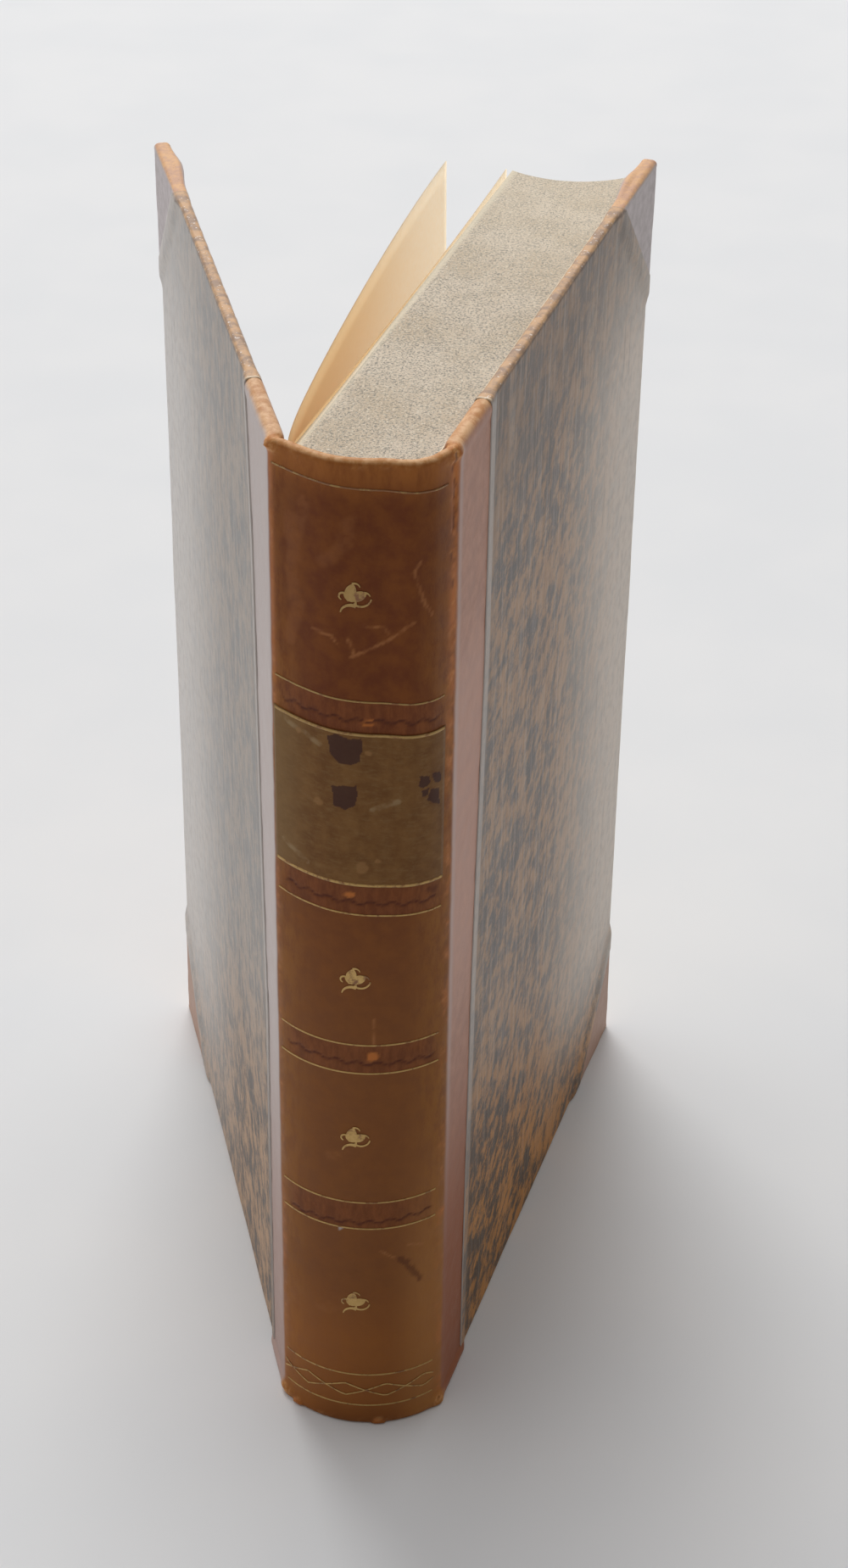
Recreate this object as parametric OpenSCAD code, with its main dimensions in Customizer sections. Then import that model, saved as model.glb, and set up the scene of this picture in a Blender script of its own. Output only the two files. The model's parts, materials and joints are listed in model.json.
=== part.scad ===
// Half-leather book with a smooth rounded spine, standing on its tail with
// the rear cover and one flyleaf open. Millimetres.
// Z runs from tail to head, Y from the spine into the leaves, and X towards
// the front cover. The origin is the middle of the tail cap, where it stands.

/* [Book] */
// Height of the covers, tail to head
cover_h = 235; // [200:1:320]
// Width of each cover, from its hinge line to the fore-edge
cover_w = 140.6; // [110:0.1:200]
// Width of the spine, from hinge line to hinge line
spine_w = 34.4; // [30:0.1:44]
// How far the rounded spine stands past the hinge lines
spine_rise = 7.9; // [6:0.1:9]
// Lean of the leaves and of the closed front cover, off the spine's axis
lean = 13.1; // [0:0.1:15]
// Angle that the rear cover stands open from the leaves
rear_open = 30.5; // [15:0.5:90]
// Square: how far the covers stand past the leaves at head and tail
square_w = 2; // [1.8:0.1:4]
// Square at the fore-edge
fore_square = 2.6; // [2:0.1:5]

/* [Covers] */
// Thickness of the bare boards
board_t = 2; // [1.5:0.1:3]
// Width of the open joint between the hinge line and the board
joint_w = 2; // [1.8:0.1:4]
// How far the leather and paper are turned in on the inner face
turn_in = 14; // [8:0.5:20]
// Thickness of what is turned in, pared thin
turn_t = 0.5; // [0.3:0.05:0.6]

/* [Leather] */
// Thickness of the leather
leather_t = 0.8; // [0.6:0.05:1]
// Width of the leather on each cover, with what the side paper covers
strip_w = 20; // [12:0.1:30]
// Length of each leather corner along both edges, with what the side paper covers
corner_w = 31; // [22:0.5:40]
// Width of the rolled cap at head and tail
cap_w = 2.3; // [2.2:0.05:3]
// Height of the rolled cap
cap_h = 1.9; // [1.4:0.05:2]

/* [Paper] */
// Thickness of the side paper
paper_t = 0.2; // [0.1:0.05:0.3]
// How far the side paper laps over the leather
paper_lap = 3; // [1.5:0.1:5]
// Thickness of the flyleaves and pastedowns
leaf_t = 0.2; // [0.1:0.05:0.3]
// Bare margin round each pastedown
pastedown_margin = 4; // [2:0.5:8]
// Distance of the standing flyleaf from the leaves at its fore-edge
flyleaf_lift = 10.8; // [4:0.1:14]
// Bulge of the standing flyleaf close to the gutter
flyleaf_bulge = 3; // [1:0.1:4]
// Distance of the lifted second leaf at its fore-edge
endleaf_lift = 1.4; // [0.5:0.1:2]

/* [Spine] */
// Thickness of the card that stiffens the spine leather
inlay_t = 0.5; // [0.4:0.05:0.8]
// Thickness of the lining on the back of the leaves
lining_t = 0.4; // [0.2:0.05:0.5]
// Gap of the hollow back
hollow = 0.2; // [0.1:0.05:0.4]
// Diameter of the sewing cords
cord_d = 1.6; // [1:0.1:2]
// Number of sewing cords
cord_count = 4; // [3:1:4]
// Distance of the end cords from head and tail
cord_margin = 30; // [20:1:40]

/* [Tooling] */
// Height of each tooled band, between its two gilt rules
band_h = 7.2; // [5:0.1:9]
// Height of the zigzag band at the tail
chain_h = 9.1; // [7:0.1:12]
// Plain leather below the lowest gilt rule
tail_margin = 5.2; // [4:0.1:8]
// Plain leather above the highest gilt rule
head_margin = 5.7; // [4:0.1:8]
// Heights of the plain panels, from the tail upwards
panel_h = [42, 34.3, 32.2, 34.2];
// Panel that carries the label, counted from the tail
label_panel = 3; // [3:1:3]
// Width of the gilt rules
rule_w = 0.35; // [0.2:0.05:0.5]
// Width of the two rules of the label
label_rule_w = 0.6; // [0.4:0.05:0.8]
// Width of one flower
flower_w = 6.2; // [4:0.1:9]
// Length of one step of the zigzag round the spine
zigzag_step = 8.9; // [7:0.1:11]
// Rise of the zigzag
zigzag_h = 3.6; // [2:0.1:5]
// Thickness of the label leather
label_t = 0.2; // [0.1:0.05:0.3]
// Thickness of the gold
gilt_t = 0.05; // [0.03:0.01:0.08]
// Plain edge left at both sides of the tooling, in degrees of the spine
tooling_edge = 3.5; // [2.5:0.5:8]
// How far the tooling stands off the middle of the spine towards the rear, in degrees
tooling_turn = 2; // [0:0.5:2]

/* [Hidden] */
$fn = 96;

// Glue line between pieces that lie on each other
seat = 0.02;
// Clearance on each side of the hinge plane, and room for the closed flyleaves
hinge_gap = 0.2;
closing_room = 0.6;
// Longer than any piece, for cutting
far = 400;

// The spine's arc and the hinge lines
spine_r = (pow(spine_w / 2, 2) + pow(spine_rise, 2)) / (2 * spine_rise);
cap_proud = 0.1;
arc_y = spine_r + cap_proud - cap_w / 2;
hinge_x = spine_w / 2;
hinge_y = arc_y - sqrt(pow(spine_r, 2) - pow(hinge_x, 2));
hinge_angle = asin(hinge_x / spine_r);
tooling_angle = hinge_angle - tooling_edge;

// The leaves
back_r = spine_r - leather_t - inlay_t - turn_t - hollow - lining_t - 2 * seat;
cover_t = leather_t + board_t + turn_t + leaf_t;
back_x = hinge_x - (cover_t + closing_room) / cos(lean);
back_y = arc_y - sqrt(pow(back_r, 2) - pow(back_x, 2));
leaf_h = cover_h - 2 * square_w;
leaf_w = cover_w - fore_square;
leaf_dir = [sin(lean), cos(lean)];
leaf_out = [-cos(lean), sin(lean)];

// The bare board, inside its leather and paper
board_l = cover_w - leather_t - joint_w;
board_h = cover_h - 2 * leather_t;
board_in = leather_t + board_t;

// Heights of the tooling, from the tail upwards
chain_z = tail_margin;
panel_z = [for (i = [0 : len(panel_h)]) chain_z + chain_h + i * band_h + sum_to(panel_h, i)];
head_rule_z = cover_h - head_margin;
function sum_to(list, n) = n == 0 ? 0 : list[n - 1] + sum_to(list, n - 1);
function panel_top(i) = i < len(panel_h) ? panel_z[i] + panel_h[i] : head_rule_z;

// A piece bent round the spine, from radius r0 to r1
module spine_ring(r0, r1, z0, z1, half_angle) {
    translate([0, arc_y, 0])
        rotate([0, 0, -90 - half_angle])
            rotate_extrude(angle = 2 * half_angle)
                translate([r0, z0])
                    square([r1 - r0, z1 - z0]);
}

// The tooling stands a little off the middle of the spine
module tooled() {
    translate([0, arc_y, 0])
        rotate([0, 0, -tooling_turn])
            translate([0, -arc_y, 0])
                children();
}

// A flat outline, seen from behind the spine, laid onto its surface
module on_spine(t) {
    intersection() {
        spine_ring(spine_r + seat, spine_r + seat + t, 0, cover_h, hinge_angle);
        translate([0, arc_y, 0])
            rotate([90, 0, 0])
                linear_extrude(2 * spine_r)
                    children();
    }
}

// Leaves

module block_outline() {
    left = [-back_x, back_y];
    right = [back_x, back_y];
    past = (leaf_w + 5) * leaf_dir;
    difference() {
        union() {
            polygon([left, right, right + past, left + past]);
            intersection() {
                translate([0, arc_y])
                    circle(back_r);
                translate([-far, -far])
                    square([2 * far, far + back_y]);
            }
        }
        translate([0, arc_y] + leaf_w * leaf_dir)
            circle(back_r);
    }
}

module page_block() {
    color("#cdc4ad")
        difference() {
            translate([0, 0, square_w])
                linear_extrude(leaf_h)
                    block_outline();
            for (i = [1 : cord_count])
                along_cord(i)
                    translate([back_r - cord_d - 3 * seat, -cord_d / 2 - seat])
                        square([cord_d + 1, cord_d + 2 * seat]);
        }
}

// A sheet bent across the leaves: lift gives its distance from them
module bent_leaf(outline) {
    color("#ead3a6")
        translate([0, 0, square_w])
            linear_extrude(leaf_h)
                polygon(outline);
}

leaf_steps = 24;
function left_face(t, n) = [-back_x, back_y] + t * leaf_dir + n * leaf_out;
function flyleaf_n(t) = 2 * leaf_t + flyleaf_bulge * (1 - exp(-t / 8))
    + flyleaf_lift * sin(82 * t / leaf_w);
function endleaf_n(t) = seat + endleaf_lift * pow(max(0, t / leaf_w - 0.3) / 0.7, 2);
flyleaf_line = [for (i = [0 : leaf_steps]) let (t = leaf_w * i / leaf_steps) [t, flyleaf_n(t)]];
endleaf_line = [for (i = [0 : leaf_steps]) let (t = leaf_w * i / leaf_steps) [t, endleaf_n(t)]];
function sheet(line) = concat(
    [for (p = line) left_face(p[0], p[1])],
    [for (i = [len(line) - 1 : -1 : 0]) left_face(line[i][0], line[i][1] + leaf_t)]
);

module rear_flyleaf() {
    bent_leaf(sheet(flyleaf_line));
}

module rear_endleaf() {
    bent_leaf(sheet(endleaf_line));
}

module front_flyleaf() {
    color("#ead3a6")
        translate([back_x, back_y, square_w])
            rotate([0, 0, 90 - lean])
                translate([1, -seat - leaf_t, 0])
                    cube([leaf_w - 1, leaf_t, leaf_h]);
}

// Inside the spine

module along_cord(i) {
    z = cord_margin + (i - 1) * (cover_h - 2 * cord_margin) / (cord_count - 1);
    half_angle = asin(back_x / back_r) - 2;
    translate([0, arc_y, z])
        rotate([0, 0, -90 - half_angle])
            rotate_extrude(angle = 2 * half_angle)
                children();
}

module sewing_cord(i) {
    color("#b9a479")
        along_cord(i)
            translate([back_r - cord_d / 2 - 2 * seat, 0])
                circle(cord_d / 2);
}

module spine_lining() {
    color("#a99f86")
        spine_ring(back_r + seat, back_r + seat + lining_t, square_w + 1, cover_h - square_w - 1,
            asin(back_x / back_r) - 1);
}

module spine_inlay() {
    r = spine_r - leather_t - seat;
    color("#8d8168")
        spine_ring(r - inlay_t, r, cap_h + 0.3, cover_h - cap_h - 0.3, hinge_angle - 6);
}

// Section of the spine leather: wall, rolled caps and turn-ins
module spine_section() {
    translate([spine_r - leather_t, cap_h / 2])
        square([leather_t, cover_h - cap_h]);
    for (head = [0, 1])
        translate([0, head * cover_h])
            mirror([0, head]) {
                cap_end = spine_r + cap_proud - cap_h / 2;
                for (x = [cap_end, cap_end - cap_w + cap_h])
                    translate([x, cap_h / 2])
                        circle(cap_h / 2);
                translate([cap_end - cap_w + cap_h, 0])
                    square([cap_w - cap_h, cap_h]);
                translate([spine_r - leather_t - inlay_t - turn_t - 2 * seat, cap_h / 2])
                    square([turn_t, turn_in]);
            }
}

module spine_leather() {
    color("#6d3f1d")
        difference() {
            translate([0, arc_y, 0])
                rotate([0, 0, -90 - hinge_angle - 4])
                    rotate_extrude(angle = 2 * hinge_angle + 8)
                        spine_section();
            translate([-far / 2, hinge_y - hinge_gap, -1])
                cube([far, far, cover_h + 2]);
        }
}

// Tooling

module title_label() {
    color("#574225")
        spine_ring(spine_r + seat, spine_r + seat + label_t, panel_z[label_panel],
            panel_top(label_panel), tooling_angle);
}

module rule(z, w, r = spine_r + seat) {
    spine_ring(r, r + gilt_t, z - w / 2, z + w / 2, tooling_angle);
}

module gilt_rules() {
    label_r = spine_r + 2 * seat + label_t;
    color("#b08a45") {
        rule(chain_z, rule_w);
        rule(head_rule_z, rule_w);
        for (i = [0 : len(panel_h)])
            if (i == label_panel) {
                rule(panel_z[i] + label_rule_w, label_rule_w, label_r);
                rule(panel_top(i) - label_rule_w, label_rule_w, label_r);
            } else {
                rule(panel_z[i], rule_w);
                if (i < len(panel_h))
                    rule(panel_top(i), rule_w);
            }
    }
}

// One stroke of the flower: part of a ring that thins towards its tip
module curl(centre, r, from, to, w0, w1) {
    steps = 8;
    function at(i) = from + (to - from) * i / steps;
    function width(i) = w0 + (w1 - w0) * i / steps;
    function ray(a, d) = centre + d * [cos(a), sin(a)];
    polygon(concat(
        [for (i = [0 : steps]) ray(at(i), r + width(i) / 2)],
        [for (i = [steps : -1 : 0]) ray(at(i), r - width(i) / 2)]
    ));
}

// Petal: where two circles cross, pointed at both ends
module petal(centre, angle, r, apart) {
    translate(centre)
        rotate(angle)
            intersection() {
                translate([apart / 2, 0])
                    circle(r);
                translate([-apart / 2, 0])
                    circle(r);
            }
}

// Bud on a short stem, with a hooked tip, two side curls and two leaves
module flower_outline() {
    scale(flower_w / 6.2) {
        petal([-0.7, 1], -14, 2.3, 2.5);
        petal([0.75, 0.3], -62, 1.9, 1.8);
        petal([-0.9, 0], 52, 1.5, 1.5);
        curl([0.1, 2], 0.95, 120, 10, 0.5, 0.15);
        curl([-2.1, 0.1], 0.75, 30, 250, 0.5, 0.25);
        curl([1.9, 0.1], 1, 120, 15, 0.6, 0.15);
        translate([0.05, -1.6])
            square([0.4, 1.2]);
        curl([-0.6, -3.6], 2, 62, 170, 0.8, 0.25);
        curl([1.2, 0.1], 1.9, 225, 350, 0.5, 0.3);
    }
}

module gilt_flowers() {
    color("#b08a45")
        for (i = [0 : len(panel_h)])
            if (i != label_panel)
                on_spine(gilt_t)
                    translate([0, (panel_z[i] + panel_top(i)) / 2])
                        flower_outline();
}

// Two zigzags of opposite phase that cross between their corners
module zigzag_outline(phase) {
    steps = 36;
    mid = chain_z + chain_h / 2;
    function angle(i) = tooling_angle * (2 * i / steps - 1);
    function steps_round(i) = spine_r * angle(i) * PI / 180 / zigzag_step + phase;
    function wave(s) = abs(2 * (s / 2 - floor(s / 2)) - 1) - 0.5;
    function point(i, side) = [spine_r * sin(angle(i)),
        mid + zigzag_h * wave(steps_round(i)) + side * rule_w / 2];
    polygon(concat(
        [for (i = [0 : steps]) point(i, 1)],
        [for (i = [steps : -1 : 0]) point(i, -1)]
    ));
}

module gilt_zigzag() {
    color("#b08a45")
        on_spine(gilt_t) {
            zigzag_outline(0.25);
            zigzag_outline(1.25);
        }
}

// Covers, each in its own frame: X from the hinge line to the fore-edge,
// Y from the outer face inwards, Z up

module place_front() {
    translate([hinge_x, hinge_y, 0])
        rotate([0, 0, 90 - lean])
            children();
}

module place_rear() {
    translate([-hinge_x, hinge_y, 0])
        rotate([0, 0, 90 + rear_open - lean])
            mirror([0, 1, 0])
                children();
}

module bare_board(grow = 0) {
    translate([joint_w, leather_t, leather_t] - grow * [1, 1, 1])
        cube([board_l, board_t, board_h] + 2 * grow * [1, 1, 1]);
}

module board() {
    color("#6f6453")
        bare_board();
}

// A skin over the outer face and the three edges, turned in on the inner face
module wrap(t) {
    difference() {
        translate([joint_w, leather_t - t, leather_t - t])
            cube([board_l + t, t + board_t + turn_t, board_h + 2 * t]);
        bare_board(seat);
        translate([0, leather_t, turn_in])
            cube([cover_w - turn_in, far, cover_h - 2 * turn_in]);
    }
}

// The cover's face past the diagonal of one corner, moved by out
module corner_face(head, out = 0) {
    w = corner_w + out * sqrt(2) + 1;
    translate([cover_w + 1, head ? cover_h + 1 : -1])
        mirror([0, head ? 1 : 0])
            polygon([[0, 0], [-w - 1, 0], [0, w + 1]]);
}

module through_cover() {
    translate([0, cover_t + 1, 0])
        rotate([90, 0, 0])
            linear_extrude(cover_t + 2)
                children();
}

module joint_leather() {
    color("#a98f8a") {
        intersection() {
            wrap(leather_t);
            translate([0, -1, -1])
                cube([strip_w, far, cover_h + 2]);
        }
        translate([2 * hinge_gap, 0, 0])
            cube([joint_w, leather_t - seat, cover_h]);
    }
}

module corner_leather(head) {
    color("#b98d6c")
        intersection() {
            wrap(leather_t);
            through_cover()
                corner_face(head);
        }
}

// The laps where the side paper climbs onto the leather
module lap_outline() {
    intersection() {
        translate([0, leather_t])
            square([cover_w - leather_t, cover_h - 2 * leather_t]);
        union() {
            translate([strip_w - paper_lap, 0])
                square([paper_lap + seat + paper_t, cover_h]);
            for (head = [false, true])
                difference() {
                    corner_face(head, seat + paper_t);
                    corner_face(head, -paper_lap);
                }
        }
    }
}

module riser_outline() {
    difference() {
        lap_outline();
        square([strip_w + seat, cover_h]);
        for (head = [false, true])
            corner_face(head, seat);
    }
}

module side_paper() {
    color("#7c7a78") {
        difference() {
            wrap(paper_t);
            translate([-1, -1, -1])
                cube([strip_w + seat + 1, far, cover_h + 2]);
            for (head = [false, true])
                through_cover()
                    corner_face(head, seat);
        }
        translate([0, -seat, 0])
            rotate([90, 0, 0])
                linear_extrude(paper_t)
                    lap_outline();
        translate([0, leather_t - seat, 0])
            rotate([90, 0, 0])
                linear_extrude(leather_t)
                    riser_outline();
    }
}

// Sheet that dips from the turn-ins onto the bare board between them
module pastedown() {
    m = pastedown_margin;
    edge = turn_in + seat;
    top = board_in + turn_t + seat;
    module sheet_outline() {
        translate([joint_w + 1, m])
            square([cover_w - joint_w - 1 - m, cover_h - 2 * m]);
    }
    module window_outline(inset) {
        translate([0, edge + inset])
            square([cover_w - edge - inset, cover_h - 2 * edge - 2 * inset]);
    }
    module layer(y, t) {
        translate([0, y + t, 0])
            rotate([90, 0, 0])
                linear_extrude(t)
                    children();
    }
    color("#ead3a6") {
        layer(top, leaf_t - seat)
            difference() {
                sheet_outline();
                window_outline(leaf_t);
            }
        layer(board_in + seat, top - board_in)
            difference() {
                intersection() {
                    sheet_outline();
                    window_outline(0);
                }
                window_outline(leaf_t);
            }
        layer(board_in + seat, leaf_t)
            intersection() {
                sheet_outline();
                window_outline(0);
            }
    }
}

page_block();
front_flyleaf();
rear_flyleaf();
rear_endleaf();
sewing_cord(1);  // sewing_cord_1
sewing_cord(2);  // sewing_cord_2
sewing_cord(3);  // sewing_cord_3
sewing_cord(4);  // sewing_cord_4
spine_lining();
spine_inlay();
spine_leather();
tooled() title_label();
tooled() gilt_rules();
tooled() gilt_flowers();
tooled() gilt_zigzag();
place_front() board();  // front_board
place_front() joint_leather();  // front_joint_leather
place_front() corner_leather(true);  // front_corner_head
place_front() corner_leather(false);  // front_corner_tail
place_front() side_paper();  // front_side_paper
place_front() pastedown();  // front_pastedown
place_rear() board();  // rear_board
place_rear() joint_leather();  // rear_joint_leather
place_rear() corner_leather(true);  // rear_corner_head
place_rear() corner_leather(false);  // rear_corner_tail
place_rear() side_paper();  // rear_side_paper
place_rear() pastedown();  // rear_pastedown
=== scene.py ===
import json
import math

import bmesh
import bpy
import numpy as np
from mathutils import Matrix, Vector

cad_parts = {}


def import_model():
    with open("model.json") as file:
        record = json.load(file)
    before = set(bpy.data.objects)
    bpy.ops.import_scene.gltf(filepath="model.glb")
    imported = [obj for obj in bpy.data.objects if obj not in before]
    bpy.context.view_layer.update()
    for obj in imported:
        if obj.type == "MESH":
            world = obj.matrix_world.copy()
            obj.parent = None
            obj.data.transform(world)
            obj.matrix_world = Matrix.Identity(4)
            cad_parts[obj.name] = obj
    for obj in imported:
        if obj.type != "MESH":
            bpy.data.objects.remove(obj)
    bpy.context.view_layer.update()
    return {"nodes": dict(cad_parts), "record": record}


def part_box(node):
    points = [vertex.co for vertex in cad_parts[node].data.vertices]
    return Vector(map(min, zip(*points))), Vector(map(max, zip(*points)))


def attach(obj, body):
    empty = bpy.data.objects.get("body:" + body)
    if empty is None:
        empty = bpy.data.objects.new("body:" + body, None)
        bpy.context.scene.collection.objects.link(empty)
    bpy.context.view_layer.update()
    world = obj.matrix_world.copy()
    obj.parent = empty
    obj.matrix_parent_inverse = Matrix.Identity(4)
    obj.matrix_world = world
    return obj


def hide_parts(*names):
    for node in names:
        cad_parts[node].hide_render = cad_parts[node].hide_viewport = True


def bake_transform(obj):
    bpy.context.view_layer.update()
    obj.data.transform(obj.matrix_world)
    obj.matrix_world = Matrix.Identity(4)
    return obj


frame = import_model()

MM = 0.001

# Driving dimensions, from the frame

JOINTS = {joint["name"]: joint for joint in frame["record"]["behaviour"]["joints"]}
HINGE_X, HINGE_Y = (value / MM for value in JOINTS["front_cover_hinge"]["pos_m"][:2])
OPEN = -JOINTS["rear_cover_hinge"]["range_deg"][0]
COVER_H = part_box("front_board")[1][2] / MM + 0.8
BLOCK_LOW, BLOCK_HIGH = (corner[2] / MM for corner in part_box("page_block"))

# Driving dimensions of the build, in millimetres and degrees

LEAN = 13.1
SPINE_RISE = 7.9
COVER_W = 140.6
COVER_T = 3.3
TURN_IN = 14.0
STRIP_W = 17.0
LEATHER_W = 26.0
CORNER_W = 26.8
LEAF_W = 138.0
LEAF_T = 0.2
BACK_DEPTH = 2.44
COVER_ROOM = 4.1

SPINE_R = (HINGE_X ** 2 + SPINE_RISE ** 2) / (2 * SPINE_RISE)
ARC_Y = HINGE_Y + math.sqrt(SPINE_R ** 2 - HINGE_X ** 2)
HINGE_S = SPINE_R * math.asin(HINGE_X / SPINE_R)


def direction(angle):
    """Unit vector in the plane of the floor, angle degrees clockwise of +Y."""
    turn = math.radians(angle)
    return np.array([math.sin(turn), math.cos(turn)])


FRONT_DIR = direction(LEAN)
REAR_DIR = direction(LEAN - OPEN)
LEAF_DIR = direction(LEAN)
LEAF_OUT = np.array([-LEAF_DIR[1], LEAF_DIR[0]])
BACK_X = HINGE_X - COVER_ROOM / math.cos(math.radians(LEAN))
BACK_R = SPINE_R - BACK_DEPTH
BACK_EDGE = np.array([-BACK_X, ARC_Y - math.sqrt(BACK_R ** 2 - BACK_X ** 2)])

# Where the side paper begins on each cover: height and distance from the hinge line
SEAMS = {
    "front": ((0, 14.6), (26, 14.6), (106, 15.7), (180, 19.0), (235, 19.2)),
    "rear": ((0, 13.0), (48, 12.9), (96, 11.6), (136, 14.7), (203, 18.3), (227, 21.6), (235, 23.6)),
}


def seam(side, z):
    """Distance of the paper's edge from the hinge line at height z."""
    heights, places = zip(*SEAMS[side])
    return np.interp(z, heights, places)


# Numbers that never change from run to run


def smooth(x, low=0.0, high=1.0):
    """0 below low, 1 above high and a smooth step between them."""
    t = np.clip((np.asarray(x, float) - low) / (high - low), 0, 1)
    return t * t * (3 - 2 * t)


def hashed(cell, seed):
    """One value from 0 to 1 for each whole-number cell."""
    value = cell[..., 0] * 73856093 ^ cell[..., 1] * 19349663 ^ cell[..., 2] * 83492791
    value = (value ^ seed * 2654435761) & 0xFFFFFFFF
    value = (value ^ (value >> 15)) * 2246822519 & 0xFFFFFFFF
    value = (value ^ (value >> 13)) * 3266489917 & 0xFFFFFFFF
    return ((value ^ (value >> 16)) & 0xFFFFFF) / 0xFFFFFF


def noise(points, size, seed=0, octaves=2):
    """Smooth noise from -1 to 1 at the points, with blobs about size across."""
    points = np.asarray(points, float)
    total = np.zeros(points.shape[:-1])
    weight = 0.0
    for octave in range(octaves):
        place = points * 2 ** octave / size
        base = np.floor(place).astype(np.int64)
        part = place - base
        part = part * part * (3 - 2 * part)
        value = np.zeros(total.shape)
        for corner in np.ndindex(2, 2, 2):
            share = np.prod(np.where(corner, part, 1 - part), axis=-1)
            value += share * hashed(base + np.array(corner), seed + octave)
        total += (2 * value - 1) / 2 ** octave
        weight += 1 / 2 ** octave
    return total / weight


def near_line(x, y, line, width):
    """1 on a line through the listed points, falling to 0 at half the width beside it."""
    best = np.full(np.shape(x), 1e9)
    for (x0, y0), (x1, y1) in zip(line, line[1:]):
        along = np.array([x1 - x0, y1 - y0])
        share = ((x - x0) * along[0] + (y - y0) * along[1]) / max(along @ along, 1e-9)
        share = np.clip(share, 0, 1)
        best = np.minimum(best, np.hypot(x - x0 - share * along[0], y - y0 - share * along[1]))
    return 1 - smooth(best, width * 0.2, width * 0.5)


def near_spot(x, y, centre, radii):
    """1 inside an ellipse, falling to 0 at its edge."""
    return 1 - smooth(np.hypot((x - centre[0]) / radii[0], (y - centre[1]) / radii[1]), 0.6, 1.0)


# Meshes


def grid_faces(rows, columns):
    """Quads of a grid whose points are numbered row by row."""
    first = (np.arange(rows - 1)[:, None] * columns + np.arange(columns - 1)).ravel()
    return np.stack([first, first + 1, first + columns + 1, first + columns], axis=1)


def joined(grids):
    """The points and faces of several grids, each given with whether it is flipped."""
    points, faces, start = [], [], 0
    for grid, flip in grids:
        quads = grid_faces(*grid.shape[:2])
        points.append(grid.reshape(-1, 3))
        faces.append((quads[:, ::-1] if flip else quads) + start)
        start += len(points[-1])
    return np.concatenate(points), np.concatenate(faces)


def make_object(name, points, faces, values=None):
    """A smooth-shaded object from points in millimetres, with its named values on the points."""
    mesh = bpy.data.meshes.new(name)
    faces = faces.tolist() if isinstance(faces, np.ndarray) else faces
    mesh.from_pydata((np.asarray(points) * MM).tolist(), [], faces)
    for key, value in (values or {}).items():
        store(mesh, key, value)
    mesh.polygons.foreach_set("use_smooth", np.ones(len(mesh.polygons), bool))
    mesh.update()
    obj = bpy.data.objects.new(name, mesh)
    bpy.context.scene.collection.objects.link(obj)
    return obj


def store(mesh, key, value):
    """Keeps a number or a vector on each point, for the materials."""
    value = np.asarray(value, np.float32)
    kind, field = ("FLOAT_VECTOR", "vector") if value.ndim == 2 else ("FLOAT", "value")
    layer = mesh.attributes.new(key, kind, "POINT")
    layer.data.foreach_set(field, value.ravel())


def dress(obj, material, slot, *nodes):
    """Gives a new piece its material and hides the CAD nodes that it stands for; its finish, slot, is
    not used.
    """
    obj.data.materials.append(material)
    if nodes:
        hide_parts(*nodes)


# Leather of the spine and of both joints: one skin, seen from above as one line

SKIN_END = HINGE_S + LEATHER_W
SPLIT_S = 16.5
SKIN_STEP = 0.5
# Thickness of the rolled caps, of the rolls over the covers and of the leather turned in
CAP_T = 2.3
ROLL_T = 3.75
TURNED_T = 1.7
# Height of each rolled end of the skin
END_REACH = 4
# The most that the spine stands out beside the front joint and beside the rear one
FRONT_BULGE = 2.0
REAR_BULGE = -0.6
TOOLING_SLOPE = -0.045
# Where the skin runs under the side paper: how deep, as a share of the way to the middle of the
# board, and how much shorter
UNDER_SHARE = 0.45
UNDER_TRIM = 1.2


def out_of_round(s, height):
    """How far the spine stands out beyond its round section: fuller beside the front joint
    and flatter beside the rear one, more so towards the head."""
    away = np.abs(s)
    bulge = smooth(away, 3.6, 12) * (1 - smooth(away, 14, HINGE_S))
    return bulge * np.where(s > 0, FRONT_BULGE, REAR_BULGE) * smooth(height, 90, 225)


def askew(height):
    """Slope of the tooling round the spine, which falls towards the front cover near the head."""
    return TOOLING_SLOPE * smooth(height, 90, 140)


def skin_line(step=0.1, soften=2.4):
    """Points and outward normals along the outer line of the skin, by distance s from the middle."""
    reach = SKIN_END + soften
    count = int(round(reach / step))
    s = np.arange(-count, count + 1) * step
    arc = np.clip(s, -HINGE_S, HINGE_S) / SPINE_R
    line = np.stack([SPINE_R * np.sin(arc), ARC_Y - SPINE_R * np.cos(arc)], axis=1)
    line += np.maximum(s - HINGE_S, 0)[:, None] * FRONT_DIR
    line += np.maximum(-s - HINGE_S, 0)[:, None] * REAR_DIR
    half = int(round(soften / step / 2))
    kernel = np.ones(2 * half + 1) / (2 * half + 1)
    kernel = np.convolve(kernel, kernel)
    kept = slice(2 * half, len(s) - 2 * half)
    line = np.stack([np.convolve(line[:, k], kernel, "valid") for k in (0, 1)], axis=1)
    tangent = np.gradient(line, axis=0)
    tangent /= np.linalg.norm(tangent, axis=1)[:, None]
    return s[kept], line, np.stack([tangent[:, 1], -tangent[:, 0]], axis=1)


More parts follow.
